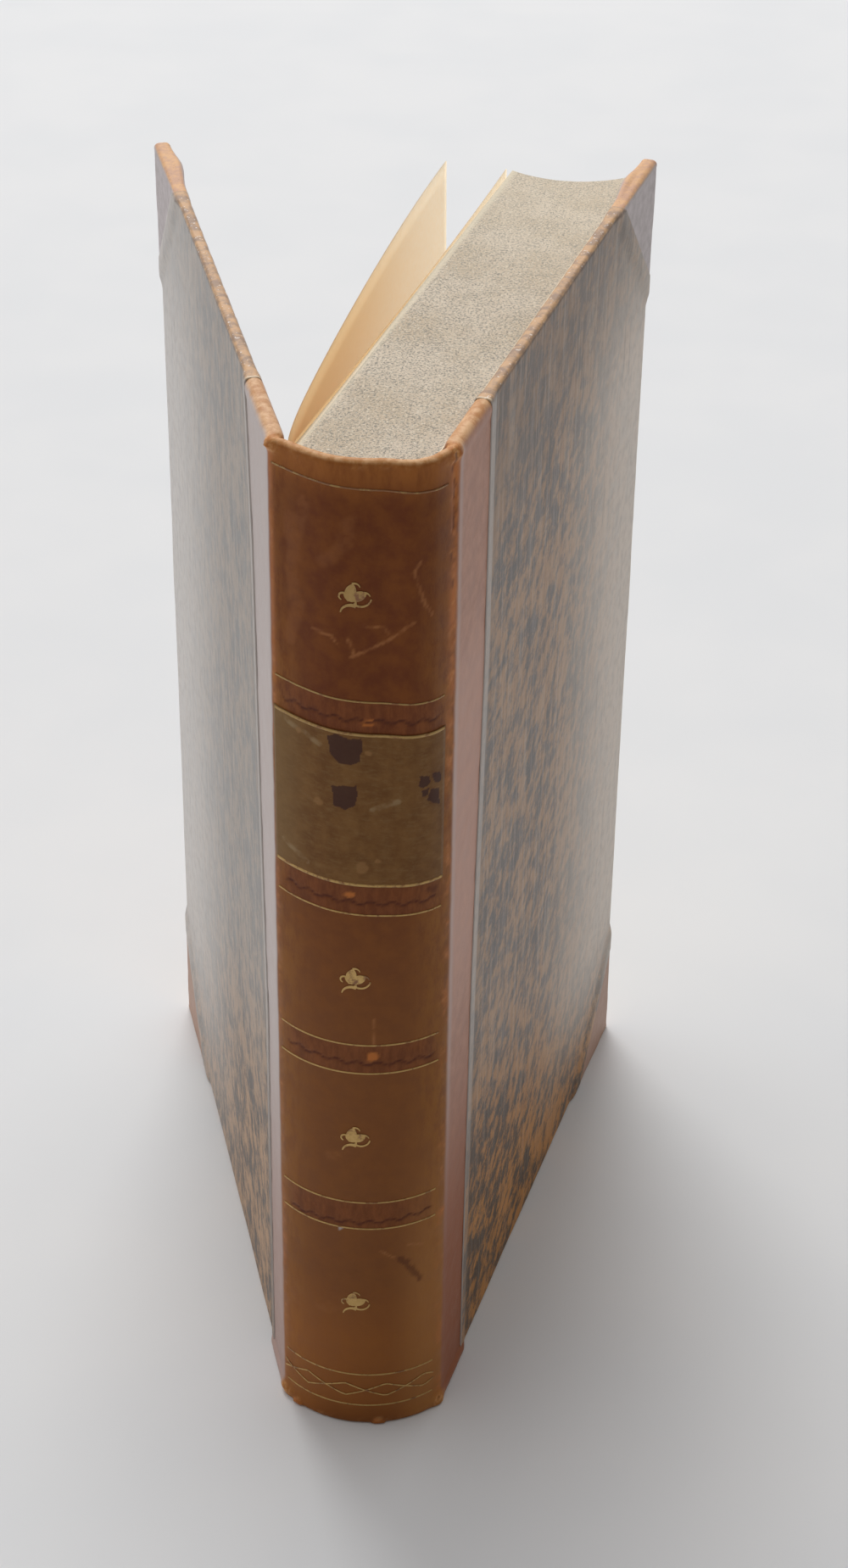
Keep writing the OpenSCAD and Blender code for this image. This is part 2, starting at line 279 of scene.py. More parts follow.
def skin_end(s, flare, square):
    """Depth and distance from the book's end of one end of the skin, from the wall inwards.
    The lower square is, the sharper is the outer edge."""
    on_cover = smooth(np.abs(s), HINGE_S - 2, HINGE_S + 1.5)
    round_t = CAP_T + (ROLL_T - CAP_T) * on_cover
    proud = flare + 0.12 * on_cover
    inner = TURNED_T + (COVER_T - TURNED_T) * on_cover
    radius = round_t / 2
    near = np.linspace(0.92, 0.08, 7)[:, None]
    turns = np.linspace(0, math.pi, 17)[:, None]
    turned = np.sign(np.cos(turns)) * np.abs(np.cos(turns)) ** square
    inside = np.array([1.0, 2.4, 6.0, TURN_IN])[:, None]
    share = smooth(inside, 0, 2.4)
    depth = np.concatenate([-proud * (1 - smooth(near, 0, 1)), radius - proud - radius * turned,
                            (round_t - proud) * (1 - share) + inner * share])
    reach = np.concatenate([radius + (END_REACH - radius) * near,
                            radius * (1 - np.abs(np.sin(turns)) ** square), radius + inside])
    return depth, reach


def skin_section(s, step):
    """Depth below the outer face and height of each point of the skin's section at each s."""
    count = int((COVER_H - 2 * END_REACH) / step) + 1
    wall = np.linspace(END_REACH, COVER_H - END_REACH, count)[:, None] + 0 * s
    low_depth, low_reach = skin_end(s, 0.45, 0.6)
    high_depth, high_reach = skin_end(s, 0.1, 0.9)
    depth = np.concatenate([low_depth[::-1], 0 * wall, high_depth])
    height = np.concatenate([low_reach[::-1], wall, COVER_H - high_reach])
    return depth, height


# Marks on the spine, each as points of distance round it and height

PALE_SCRATCHES = (
    ((11.6, 215.1), (10.4, 213.2), (11.1, 210.4), (12.6, 206.1), (14.0, 203.6)),
    ((10.4, 202.6), (8.7, 201.4), (5.5, 198.7), (1.8, 196.7), (-1.4, 195.0)),
    ((0.7, 201.7), (3.3, 201.5), (4.9, 201.2), (5.5, 200.0)),
    ((-8.8, 199.4), (-5.3, 199.0), (-4.2, 197.7)),
    ((-2.0, 198.9), (-0.6, 195.3)),
    ((4.5, 50.1), (7.4, 47.8)),
    ((10.7, 50.7), (13.9, 49.5)),
    ((3.0, 111.4), (3.1, 105.3)),
)
BROAD_SMEARS = (
    ((-1.9, 222.3), (-2.7, 218.1), (-4.1, 216.5), (-6.3, 214.6)),
    ((-10.6, 224.7), (-11.6, 219.1), (-13.4, 211.3), (-12.5, 206.2)),
    ((-8.8, 32.4), (-5.6, 33.4), (-2.9, 34.8)),
    ((-6.0, 75.1), (-3.4, 75.6)),
    ((-13.5, 221.0), (-12.0, 214.0)),
    ((-11.6, 204.0), (-13.6, 197.0)),
)
ORANGE_SPOTS = (
    ((1.7, 180.8), (1.6, 0.8)),
    ((-1.7, 141.7), (1.2, 0.8)),
    ((2.8, 102.2), (1.6, 1.3)),
)
WHITE_SPECK = ((-3.9, 55.9), (0.55, 0.55))
TAIL_CHIPS = (((-14.6, 0.6), (1.6, 1.2)), ((4.3, 0.5), (1.6, 1.4)))
DARK_SCUFFS = (
    ((8.9, 47.4), (10.8, 44.7), (13.3, 39.9)),
    ((14.2, 141.6), (15.4, 141.2)),
)
JOINT_CRACK = ((18.7, 234), (18.2, 231), (18.7, 226), (18.5, 219))
JOINT_PITS = (((17.9, 213.4), (0.5, 1.1)), ((18.3, 207.5), (0.5, 1.4)))
# Blind wavy lines that are pressed into the bands: height at the middle, slope and one crest
WAVES = ((181.4, -0.04, -4.6), (139.9, -0.05, -1.9), (100.4, -0.04, -4.6), (58.0, 0.05, -2.0))
WAVE_STEP = 4.25
WAVE_RISE = 0.4
WAVE_W = 0.27
# Heights of the middles of the four bands
BAND_MIDS = (182.1, 140.7, 101.4, 59.9)


def waves(s, height):
    """1 in the blind wavy lines, 0 beside them."""
    found = np.zeros(np.shape(s))
    for middle, slope, crest in WAVES:
        line = middle + slope * s + WAVE_RISE * np.cos(2 * math.pi * (s - crest) / WAVE_STEP)
        groove = np.exp(-((height - line) / WAVE_W) ** 2) * (1 - smooth(np.abs(s), 15.5, 16.5))
        found = np.maximum(found, groove)
    return found


def skin_relief(s, depth, height, outer):
    """How far each point of the skin is pressed in."""
    place = np.stack([s, depth, height], axis=-1)
    pressed = 0.03 * (1 + noise(place, 14, seed=3)) * outer
    on_joint = smooth(np.abs(s), HINGE_S - 2.5, HINGE_S)
    pressed += on_joint * 0.07 * (1 + noise(place, 4, seed=5, octaves=3)) * outer
    pressed += 0.12 * waves(s, height) * outer
    end = smooth(np.abs(height - COVER_H / 2), COVER_H / 2 - 3.2, COVER_H / 2 - 1.5)
    knob = np.exp(-((np.abs(s) - HINGE_S + 0.5) / 1.6) ** 2) * end
    crumbs = noise(place, 1.3, seed=8, octaves=3)
    pressed -= knob * (0.5 + 0.65 * crumbs)
    pressed -= end * 0.05 * noise(place, 2.2, seed=9, octaves=3) * (1 - knob)
    for centre, radii in TAIL_CHIPS:
        pressed -= 0.5 * near_spot(s + 0.6 * crumbs, height, centre, radii)
    pressed += 0.2 * near_line(s + 0.3 * crumbs, height, JOINT_CRACK, 0.9) * outer
    return pressed


def mark(values, key, amount):
    """Adds a mark to the values of this name; where two marks meet, the stronger one shows."""
    values[key] = np.maximum(values[key], amount)


def skin_values(s, height):
    """The marks and the wear of the skin, by name, each from 0 to 1."""
    values = dict.fromkeys(("worn", "pale", "dark", "band", "joint", "white"), 0.0)
    place = np.stack([s, height * 0, height], axis=-1)
    fine = noise(place, 1.1, seed=20, octaves=3)
    broad = noise(place, 7, seed=21, octaves=3)
    hinge = np.exp(-((np.abs(s) - HINGE_S + 0.6) / np.where(s > 0, 1.3, 0.9)) ** 2)
    hinge *= np.where(s > 0, 1.0, 0.6)
    high = smooth(height, 150, 205)
    joint = hinge * smooth(0.3 + 0.5 * high + 0.5 * broad + 0.4 * fine, 0.1, 0.9)
    far = np.abs(height - COVER_H / 2) - COVER_H / 2
    end = smooth(far, -2.4, -0.4)
    knob = np.exp(-((np.abs(s) - HINGE_S + 0.5) / 1.8) ** 2) * smooth(far, -3.4, -2.0)
    mark(values, "joint", joint)
    mark(values, "worn", 0.3 * joint * smooth(fine, 0.1, 0.5))
    mark(values, "worn", 0.45 * end * smooth(0.3 + 0.7 * fine, 0.2, 1.0))
    mark(values, "worn", knob * smooth(fine, -0.5, 0.2))
    for middle in BAND_MIDS:
        inside = 1 - smooth(np.abs(height - middle - askew(middle) * s), 3.2, 4.0)
        mark(values, "band", 0.65 * inside * (1 - smooth(np.abs(s), 14, 18)))
    for spot in ORANGE_SPOTS:
        mark(values, "joint", near_spot(s + 0.5 * fine, height + 0.4 * fine, *spot))
    for spot in TAIL_CHIPS:
        mark(values, "joint", 0.5 * near_spot(s + 0.5 * fine, height, *spot))
    for line in BROAD_SMEARS:
        smear = near_line(s + broad, height + 2 * broad, line, 4.0)
        mark(values, "pale", 0.2 * smear * smooth(fine + broad, -0.9, 0.5))
    for line in PALE_SCRATCHES:
        scratch = near_line(s + 0.15 * fine, height, line, 0.8)
        mark(values, "pale", 0.75 * scratch * smooth(fine, -0.8, 0.4))
    for line in DARK_SCUFFS:
        scuff = near_line(s + 0.6 * fine, height + 0.4 * fine, line, 1.9)
        mark(values, "dark", 0.55 * scuff * smooth(fine + broad, -0.8, 0.2))
    mark(values, "dark", 0.7 * near_line(s + 0.4 * fine, height, JOINT_CRACK, 0.6))
    mark(values, "dark", 0.7 * knob * smooth(fine, 0.35, 0.6))
    for spot in JOINT_PITS:
        mark(values, "dark", 0.6 * near_spot(s + 0.2 * fine, height, *spot))
    mark(values, "dark", waves(s, height))
    mark(values, "white", near_spot(s, height, *WHITE_SPECK))
    return values


def skin():
    """The three pieces of the skin, which meet without a gap at SPLIT_S."""
    line_s, line, line_normal = skin_line()
    half = [SKIN_STEP * k for k in range(int(SPLIT_S / SKIN_STEP) + 1)]
    count = int(round((SKIN_END - SPLIT_S) / SKIN_STEP))
    half += np.linspace(SPLIT_S, SKIN_END, count + 1)[1:].tolist()
    s = np.array([-value for value in half[:0:-1]] + half)
    depth, height = skin_section(s, SKIN_STEP)
    s_grid = s + 0 * depth
    outer = 1 - smooth(depth, 0.2, 1.5)
    depth = depth + skin_relief(s_grid, depth, height, outer)
    start = np.where(s > 0, seam("front", height), seam("rear", height))
    under = smooth(np.abs(s) - HINGE_S - start, 1.5, 3.5)
    depth = depth + (COVER_T / 2 - depth) * UNDER_SHARE * under
    height = height + (COVER_H / 2 - height) * UNDER_TRIM / COVER_H * under
    at = [np.interp(s, line_s, column) for column in (*line.T, *line_normal.T)]
    x = at[0] - depth * at[2]
    y = at[1] - depth * at[3] - out_of_round(s_grid, height)
    points = np.stack([x, y, np.maximum(height, 0)], axis=-1)
    wear = skin_values(s_grid, height)
    across = np.gradient(points, axis=1)
    up = np.gradient(points, axis=0)
    normals = np.cross(across, up)
    normals /= np.linalg.norm(normals, axis=-1)[..., None]
    # How far each point faces up or down: it places the tan of the rolled ends, which is partly wear
    # and partly painted highlight
    wear["roll"] = smooth(np.abs(normals[..., 2]), 0.25, 0.85)
    rest = np.stack([s_grid, depth, height], axis=-1)
    pieces = {}
    cuts = {
        "rear_joint_skin": s <= -SPLIT_S + 1e-6,
        "spine_skin": np.abs(s) <= SPLIT_S + 1e-6,
        "front_joint_skin": s >= SPLIT_S - 1e-6,
    }
    for name, kept in cuts.items():
        part = points[:, kept]
        faces = grid_faces(*part.shape[:2])
        values = {key: value[:, kept].ravel() for key, value in wear.items()}
        values["rest"] = rest[:, kept].reshape(-1, 3)
        pieces[name] = make_object(name, part.reshape(-1, 3), faces, values)
        pieces[name].data.normals_split_custom_set_from_vertices(
            normals[:, kept].reshape(-1, 3).tolist())
    return pieces


def place_skin(pieces, material):
    """Lets the spine's piece of the skin ride on the text block; the joint pieces stay fixed in
    place.
    """
    dress(pieces["spine_skin"], material, "spine_leather", "spine_leather")
    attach(pieces["spine_skin"], "text_block")
    for side, sign, way in (("front", 1, FRONT_DIR), ("rear", -1, REAR_DIR)):
        piece = pieces[side + "_joint_skin"]
        dress(piece, material, "cover_leather", side + "_joint_leather")
        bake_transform(piece)


# Covers: side paper and leather corners, over one rounded slab

# What still counts as the inner face
NEAR = 0.01
PAPER_STEP = 1.0
PAPER_ROUND = 1.1
PAPER_RIM = 0.25
CORNER_STEP = 0.6
CORNER_ROUND = 1.0
# How far a corner runs on under the side paper
CORNER_UNDER = 2.2

SIDES = {
    "front": (np.array([HINGE_X, HINGE_Y]), FRONT_DIR, np.array([-FRONT_DIR[1], FRONT_DIR[0]])),
    "rear": (np.array([-HINGE_X, HINGE_Y]), REAR_DIR, np.array([REAR_DIR[1], -REAR_DIR[0]])),
}


def on_cover(side, local):
    """Points of a cover's own frame (along, inwards, up) in the row frame."""
    hinge, along, inwards = SIDES[side]
    flat = hinge + local[..., 0:1] * along + local[..., 1:2] * inwards
    return np.concatenate([flat, local[..., 2:3]], axis=-1)


def steps_between(low, high, step, fine=0.3, fine_reach=2.4, fine_low=True):
    """Grid lines from low to high, closer together near the ends."""
    edge = np.arange(0, fine_reach, fine)
    start = low + edge if fine_low else np.array([low])
    end = (high - edge)[::-1]
    count = max(2, int(round((end[0] - start[-1]) / step)))
    return np.concatenate([start, np.linspace(start[-1], end[0], count + 1)[1:-1], end])


def slab_mesh(x_low, step):
    """Sharp slab of a cover with its turn-ins, from x_low to the fore-edge, as a bmesh."""
    xs = steps_between(x_low, COVER_W, step, fine_low=x_low < LEATHER_W)
    ys = np.linspace(0, COVER_T, 10)
    zs = steps_between(0, COVER_H, step)
    sheets = (
        ((xs, 0, zs[:, None]), False),
        ((xs, COVER_T, zs[:, None]), True),
        ((COVER_W, ys, zs[:, None]), False),
        ((xs, ys[:, None], COVER_H), False),
        ((xs, ys[:, None], 0), True),
    )
    points, faces = joined([(np.stack(np.broadcast_arrays(*places), axis=-1), flip)
                            for places, flip in sheets])
    middle = points[faces].mean(axis=1)
    window = (middle[:, 1] > COVER_T - NEAR) & (middle[:, 0] < COVER_W - TURN_IN)
    window &= (middle[:, 2] > TURN_IN) & (middle[:, 2] < COVER_H - TURN_IN)
    unique, back = np.unique(points.round(4), axis=0, return_inverse=True)
    mesh = bmesh.new()
    corners = [mesh.verts.new(point) for point in unique]
    for face in back.ravel()[faces[~window]]:
        mesh.faces.new([corners[index] for index in face])
    for vert in [vert for vert in mesh.verts if not vert.link_faces]:
        mesh.verts.remove(vert)
    return mesh


def cut(mesh, head, reach, sign):
    """Cuts the slab along the diagonal of one corner, which leaves both edges at reach from the
    tip. It removes the tip where sign is 1, and all but the tip where it is -1."""
    parts = mesh.verts[:] + mesh.edges[:] + mesh.faces[:]
    bmesh.ops.bisect_plane(mesh, geom=parts, plane_co=(COVER_W - reach, 0, COVER_H if head else 0),
                           plane_no=(sign, 0, sign if head else -sign), clear_outer=True, dist=1e-4)


def corner_distance(x, z, head):
    """Distance inwards from the diagonal edge of the paper at one corner, negative on the leather."""
    gap = (COVER_H - z) if head else z
    return ((COVER_W - x) + gap - CORNER_W) / math.sqrt(2)


# The lap of the paper over the leather: its rise, its width at the joint and at the corners, the
# slope beside it and how much lower the paper lies beyond
LAP_RISE = 0.16
JOINT_LAP = 2.2
CORNER_LAP = 2.6
LAP_SLOPE = 2.6
FIELD_DROP = 0.45


def paper_height(side, x, z):
    """How far the side paper stands out from the leather's level."""

    def lap(distance, width):
        return LAP_RISE - (LAP_RISE + FIELD_DROP) * smooth(distance, width, width + LAP_SLOPE)

    height = lap(x - seam(side, z), JOINT_LAP)
    for head in (False, True):
        height = np.maximum(height, lap(corner_distance(x, z, head), CORNER_LAP))
    return height


def finish_slab(side, mesh, name, relief, radius, rim):
    """Rounds the slab, presses its relief into it, gives its cut edges a rim and places it."""
    rim_verts = {}
    if rim:
        edges = [edge for edge in mesh.edges if edge.is_boundary
                 and min(vert.co.y for vert in edge.verts) < COVER_T - NEAR]
        made = bmesh.ops.extrude_edge_only(mesh, edges=edges)
        rim_verts = {vert for vert in made["geom"] if isinstance(vert, bmesh.types.BMVert)}
    mesh.verts.index_update()
    low_rim = np.array([vert in rim_verts for vert in mesh.verts])
    local = np.array([vert.co[:] for vert in mesh.verts])
    order = 1 if side == "front" else -1
    faces = [[vert.index for vert in face.verts][::order] for face in mesh.faces]
    mesh.free()
    warp = (1 - smooth(local[:, 0], STRIP_W, COVER_W / 2)) * (local[:, 0] < COVER_W / 2)
    local[:, 0] += (seam(side, local[:, 2]) - STRIP_W) * warp
    low = np.array([-50, radius, radius])
    high = np.array([COVER_W - radius, COVER_T - radius, COVER_H - radius])
    core = np.clip(local, low, high)
    out = local - core
    normal = out / np.maximum(np.linalg.norm(out, axis=1), 1e-9)[:, None]
    height = relief(side, local, normal) - np.where(low_rim, rim, 0.0)
    moved = core + normal * (radius + height)[:, None]
    moved[:, 2] = np.maximum(moved[:, 2], 0)
    values = {
        "rest": local,
        "edge": smooth(1 - np.abs(normal[:, 1]), 0.05, 0.45),
        "arris": np.exp(-((normal[:, 1] + 0.86) / 0.13) ** 2),
        "seam": local[:, 0] - seam(side, local[:, 2]),
    }
    return make_object(name, on_cover(side, moved), faces, values)


def paper_relief(side, local, normal):
    """The paper's lap, its gentle swelling and the roughness of its edges."""
    x, z = local[:, 0], local[:, 2]
    swell = 0.10 * noise(local, 26, seed=31) + 0.03 * noise(local, 3, seed=32)
    height = paper_height(side, x, z) + swell * smooth(x, STRIP_W + 3, STRIP_W + 10)
    edge = 1 - smooth(-normal[:, 1], 0.0, 0.8)
    return height * (1 - 0.7 * edge) + 0.10 * edge * noise(local, 1.8, seed=34, octaves=3)


def leather_relief(side, local, normal):
    """Grain of a corner; the folded leather is thickest in the middle of each edge."""
    gap = np.minimum(local[:, 2], COVER_H - local[:, 2])
    along = COVER_W - local[:, 0] + gap
    grain = 0.05 * noise(local, 3.0, seed=33, octaves=3) - 0.03
    tip = 1 - smooth(along, 8, 24)
    thick = np.exp(-((along - 13) / 7) ** 2) * (1 - smooth(gap, 1.1, 1.9))
    return (grain + 1.1 * thick * np.maximum(normal[:, 1], 0)
            + 0.5 * tip * np.abs(normal[:, 2]) + 0.4 * tip * np.maximum(normal[:, 0], 0))


def side_paper(side, material):
    """The mottled paper of one cover, with a rim where it lies on the leather."""
    mesh = slab_mesh(STRIP_W, PAPER_STEP)
    for head in (False, True):
        cut(mesh, head, CORNER_W, 1)
    name = side + "_side_paper_wrap"
    piece = finish_slab(side, mesh, name, paper_relief, PAPER_ROUND, PAPER_RIM)
    dress(piece, material, "side_paper", side + "_side_paper")
    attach(piece, side + "_cover")


def corner(side, head, material):
    """One leather corner; its diagonal end lies under the side paper."""
    under = CORNER_W + CORNER_UNDER
    mesh = slab_mesh(COVER_W - under - 1, CORNER_STEP)
    cut(mesh, head, under, -1)
    name = side + "_corner_" + ("head" if head else "tail")
    piece = finish_slab(side, mesh, name + "_cap", leather_relief, CORNER_ROUND, 0)
    dress(piece, material, "corner_leather", name)
    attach(piece, side + "_cover")


# Closed leaves: one block whose leaves show as fine ridges on its three edges

BLOCK_HALF = BACK_X * math.cos(math.radians(LEAN))
BLOCK_SIDE = BACK_EDGE @ LEAF_OUT
EDGE_SEED = 60
HOLLOW_SEED = 80


def leaf_ridges(u, t, seed):
    """How far each leaf stands back from the smooth edge of the block, u across the leaves."""
    u, t = np.broadcast_arrays(u, t)
    across = np.stack([u, 0 * u, t * 0.01], axis=-1)
    ridges = 0.02 * (1 + noise(across, 0.35, seed=seed))
    ridges += 0.05 * (1 + noise(across, 2.1, seed=seed + 3))
    loose = smooth(u, BLOCK_HALF - 2.6, BLOCK_HALF - 0.3) * (1 - smooth(t, 60, 120))
    return ridges + loose * 0.35 * (1 + noise(across, 0.7, seed=seed + 5))


def leaf_place(t, lift, z):
    """A point of a leaf, t from the gutter and lift off the rear side of the closed leaves."""
    flat = BACK_EDGE + t[..., None] * LEAF_DIR + lift[..., None] * LEAF_OUT
    return np.concatenate([flat, z[..., None]], axis=-1)


def block_levels(u, t):
    """Heights of the leaves at tail and head, u across the leaves and t from the back."""
    ridges = leaf_ridges(u, t, EDGE_SEED)
    return BLOCK_LOW + ridges, BLOCK_HIGH - ridges


def block_ends(u):
    """Where the rounded back and the hollow fore-edge lie at each u."""
    centre = np.array([0, ARC_Y]) - (BACK_EDGE - BLOCK_HALF * LEAF_OUT)
    away = u - centre @ LEAF_OUT
    back = centre @ LEAF_DIR - np.sqrt(BACK_R ** 2 - away ** 2)
    return back, back + LEAF_W


def follow_spine(points):
    """Lets the back of the leaves follow the spine where it is out of round."""
    x, y, z = points.T
    x = np.clip(x, -BACK_X, BACK_X)
    back = ARC_Y - np.sqrt(BACK_R ** 2 - x ** 2)
    share = 1 - smooth(y - back, 0, 16)
    moved = points.copy()
    moved[:, 1] -= share * out_of_round(SPINE_R * np.arcsin(x / BACK_R), z)
    return moved


def page_block(material):
    """The closed leaves: their two ends, the fore-edge, the back and the two sides."""
    u = np.linspace(-BLOCK_HALF, BLOCK_HALF, 240)
    back, fore = block_ends(u)
    t = back + (fore - back) * np.linspace(0, 1, 36)[:, None]
    parts = []
    for level, flip in zip(block_levels(u, t), (True, False)):
        parts.append((leaf_place(t, u - BLOCK_HALF, level), flip))
    share = np.linspace(0, 1, 50)[:, None]
    for end, hollow in ((fore, 1), (back, 0)):
        low, high = block_levels(u, end)
        height = low + (high - low) * share
        ridges = leaf_ridges(u, np.full_like(height, 70), HOLLOW_SEED)
        inset = hollow * 4 * share * (1 - share) * ridges
        parts.append((leaf_place(end - inset, u - BLOCK_HALF, height), not hollow))
    for side in (0, -1):
        wall = [leaf_place(t[:, side], u[side] - BLOCK_HALF, level)
                for level in block_levels(u[side], t[:, side])]
        parts.append((np.stack(wall), side == 0))
    points, faces = joined(parts)
    piece = make_object("page_block_leaves", follow_spine(points), faces)
    dress(piece, material, "page_edges", "page_block")
    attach(piece, "text_block")


# Leaves that stand open

# Where each leaf's bend begins and ends, as distances from the gutter
FLYLEAF_BEND = (472, -885)
ENDLEAF_BEND = (0, 1840)


def flyleaf_lift(t, z):
    """How far the open flyleaf stands off the closed leaves: steep at the gutter, then a bow."""
    base = 2 * LEAF_T + 1.6 * (1 - np.exp(-t / 8)) + 12.2 * np.sin(np.radians(82 * t / LEAF_W))
    high = (z - COVER_H / 2) / COVER_H
    return base + t / LEAF_W * (0.8 * high + 0.5 * np.sin(6 * high + 0.03 * t))


def endleaf_lift(t, z):
    """How far the second leaf stands off the closed leaves: only its tip is lifted."""
    high = (z - COVER_H / 2) / COVER_H
    return 0.05 + (0.9 + 0.7 * high) * (np.maximum(0, t / LEAF_W - 0.45) / 0.55) ** 2


def leaf(name, lift, node, material, start, end):
    """A closed thin sheet that stands bowed off the closed leaves, between the text block and the
    rear cover.
    """
    t = np.linspace(0, LEAF_W, 70)
    z = np.linspace(BLOCK_LOW, BLOCK_HIGH, 60)
    t_grid, z_grid = np.meshgrid(t, z)
    sheets = [leaf_place(t_grid, lift(t_grid, z_grid) + thick, z_grid).reshape(-1, 3)
              for thick in (0, LEAF_T)]
    quads = grid_faces(*t_grid.shape)
    index = np.arange(t_grid.size).reshape(t_grid.shape)
    ring = np.concatenate([index[0, :-1], index[:-1, -1], index[-1, :0:-1], index[:0:-1, 0]])
    after = np.roll(ring, -1)
    side = np.stack([ring, after, after + index.size, ring + index.size], axis=1)
    faces = np.concatenate([quads, quads[:, ::-1] + index.size, side[:, ::-1]])
    rest = np.stack([t_grid, 0 * t_grid, z_grid], axis=-1).reshape(-1, 3)
    values = {"rest": np.concatenate([rest, rest + [0, LEAF_T, 0]])}
    piece = make_object(name, np.concatenate(sheets), faces, values)
    dress(piece, material, "endpaper", node)
    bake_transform(piece)


# Materials


class Nodes:
    """The nodes of a material or of the world, added by short calls."""

    def __init__(self, tree):
        self.tree = tree
        tree.nodes.clear()

    def node(self, kind, sockets=(), out=0, **settings):
        """One output of a new node. Its sockets are given in order, or by name or number."""
        node = self.tree.nodes.new(kind)
        for key, value in settings.items():
            setattr(node, key, value)
        pairs = sockets.items() if isinstance(sockets, dict) else enumerate(sockets)
        for key, value in pairs:
            self.join(value, node.inputs[key])
        return node.outputs[out] if node.outputs else None

    def join(self, value, socket):
        """Links an output to a socket, or sets the socket to a number, a place or a colour."""
        if isinstance(value, bpy.types.NodeSocket):
            self.tree.links.new(value, socket)
        elif value is not None:
            socket.default_value = (*value, 1.0) if socket.type == "RGBA" else value

    def shift(self, source, offset):
        return self.node("ShaderNodeVectorMath", (source, offset), operation="ADD")

    def stretch(self, source, factors):
        return self.node("ShaderNodeVectorMath", (source, factors), operation="MULTIPLY")

    def turn(self, source, axis, angle):
        """The same places, turned about one axis by an angle in degrees."""
        sockets = {"Vector": source, "Angle": math.radians(angle)}
        return self.node("ShaderNodeVectorRotate", sockets, rotation_type=axis)

    def axis(self, source, index):
        return self.node("ShaderNodeSeparateXYZ", (source,), index)

    def noise(self, source, size, detail=3.0, roughness=0.55):
        """Noise from 0 to 1 with blobs about size across, in millimetres."""
        sockets = {"Vector": source, "Scale": 1 / size, "Detail": detail, "Roughness": roughness}
        return self.node("ShaderNodeTexNoise", sockets)

    def range(self, source, low, high, to_low=0.0, to_high=1.0):
        """A smooth step from to_low to to_high while the source goes from low to high."""
        sockets = (source, low, high, to_low, to_high)
        return self.node("ShaderNodeMapRange", sockets, interpolation_type="SMOOTHSTEP")

    def math(self, operation, *values):
        return self.node("ShaderNodeMath", values, operation=operation)

    def times(self, product, *others):
        for other in others:
            product = self.math("MULTIPLY", product, other)
        return product

    def mix(self, share, first, second):
        sockets = {0: share, 6: first, 7: second}
        return self.node("ShaderNodeMix", sockets, out=2, data_type="RGBA")

    def blend(self, source, low, high, first, second):
        """From one colour to another while the source goes from low to high."""
        return self.mix(self.range(source, low, high), first, second)


class Paint(Nodes):
    """A material, painted in layers."""

    def __init__(self, name):
        self.material = bpy.data.materials.new(name)
        self.material.use_nodes = True
        self.colour = None
        super().__init__(self.material.node_tree)

    def value(self, name, out="Fac"):
        """What is kept under this name on the points of a mesh."""
        return self.node("ShaderNodeAttribute", out=out, attribute_name=name)

    def rest(self, offset=(0, 0, 0)):
        """Place on the surface in millimetres, moved by offset."""
        return self.shift(self.value("rest", "Vector"), offset)

    def place(self, offset=(0, 0, 0)):
        """Place on the object in millimetres, moved by offset."""
        source = self.node("ShaderNodeTexCoord", out="Object")
        return self.shift(self.stretch(source, (1 / MM,) * 3), offset)

    def lay(self, share, colour):
        """Covers a share of what is painted so far."""
        self.colour = self.mix(share, self.colour, colour)

    def bump(self, height, distance, normal=None):
        sockets = {"Height": height, "Distance": distance * MM, "Normal": normal}
        return self.node("ShaderNodeBump", sockets)

    def finish(self, roughness, normal=None, through=0.0, **others):
        """The finished material; through is the share of light that thin paper lets through."""
        sockets = {"Base Color": self.colour, "Roughness": roughness, "Normal": normal}
        for key, value in others.items():
            sockets[key.replace("_", " ")] = value
        surface = self.node("ShaderNodeBsdfPrincipled", sockets)
        if through:
            behind = self.node("ShaderNodeBsdfTranslucent", (self.colour,))
            surface = self.node("ShaderNodeMixShader", (through, surface, behind))
        self.node("ShaderNodeOutputMaterial", (surface,))
        return self.material


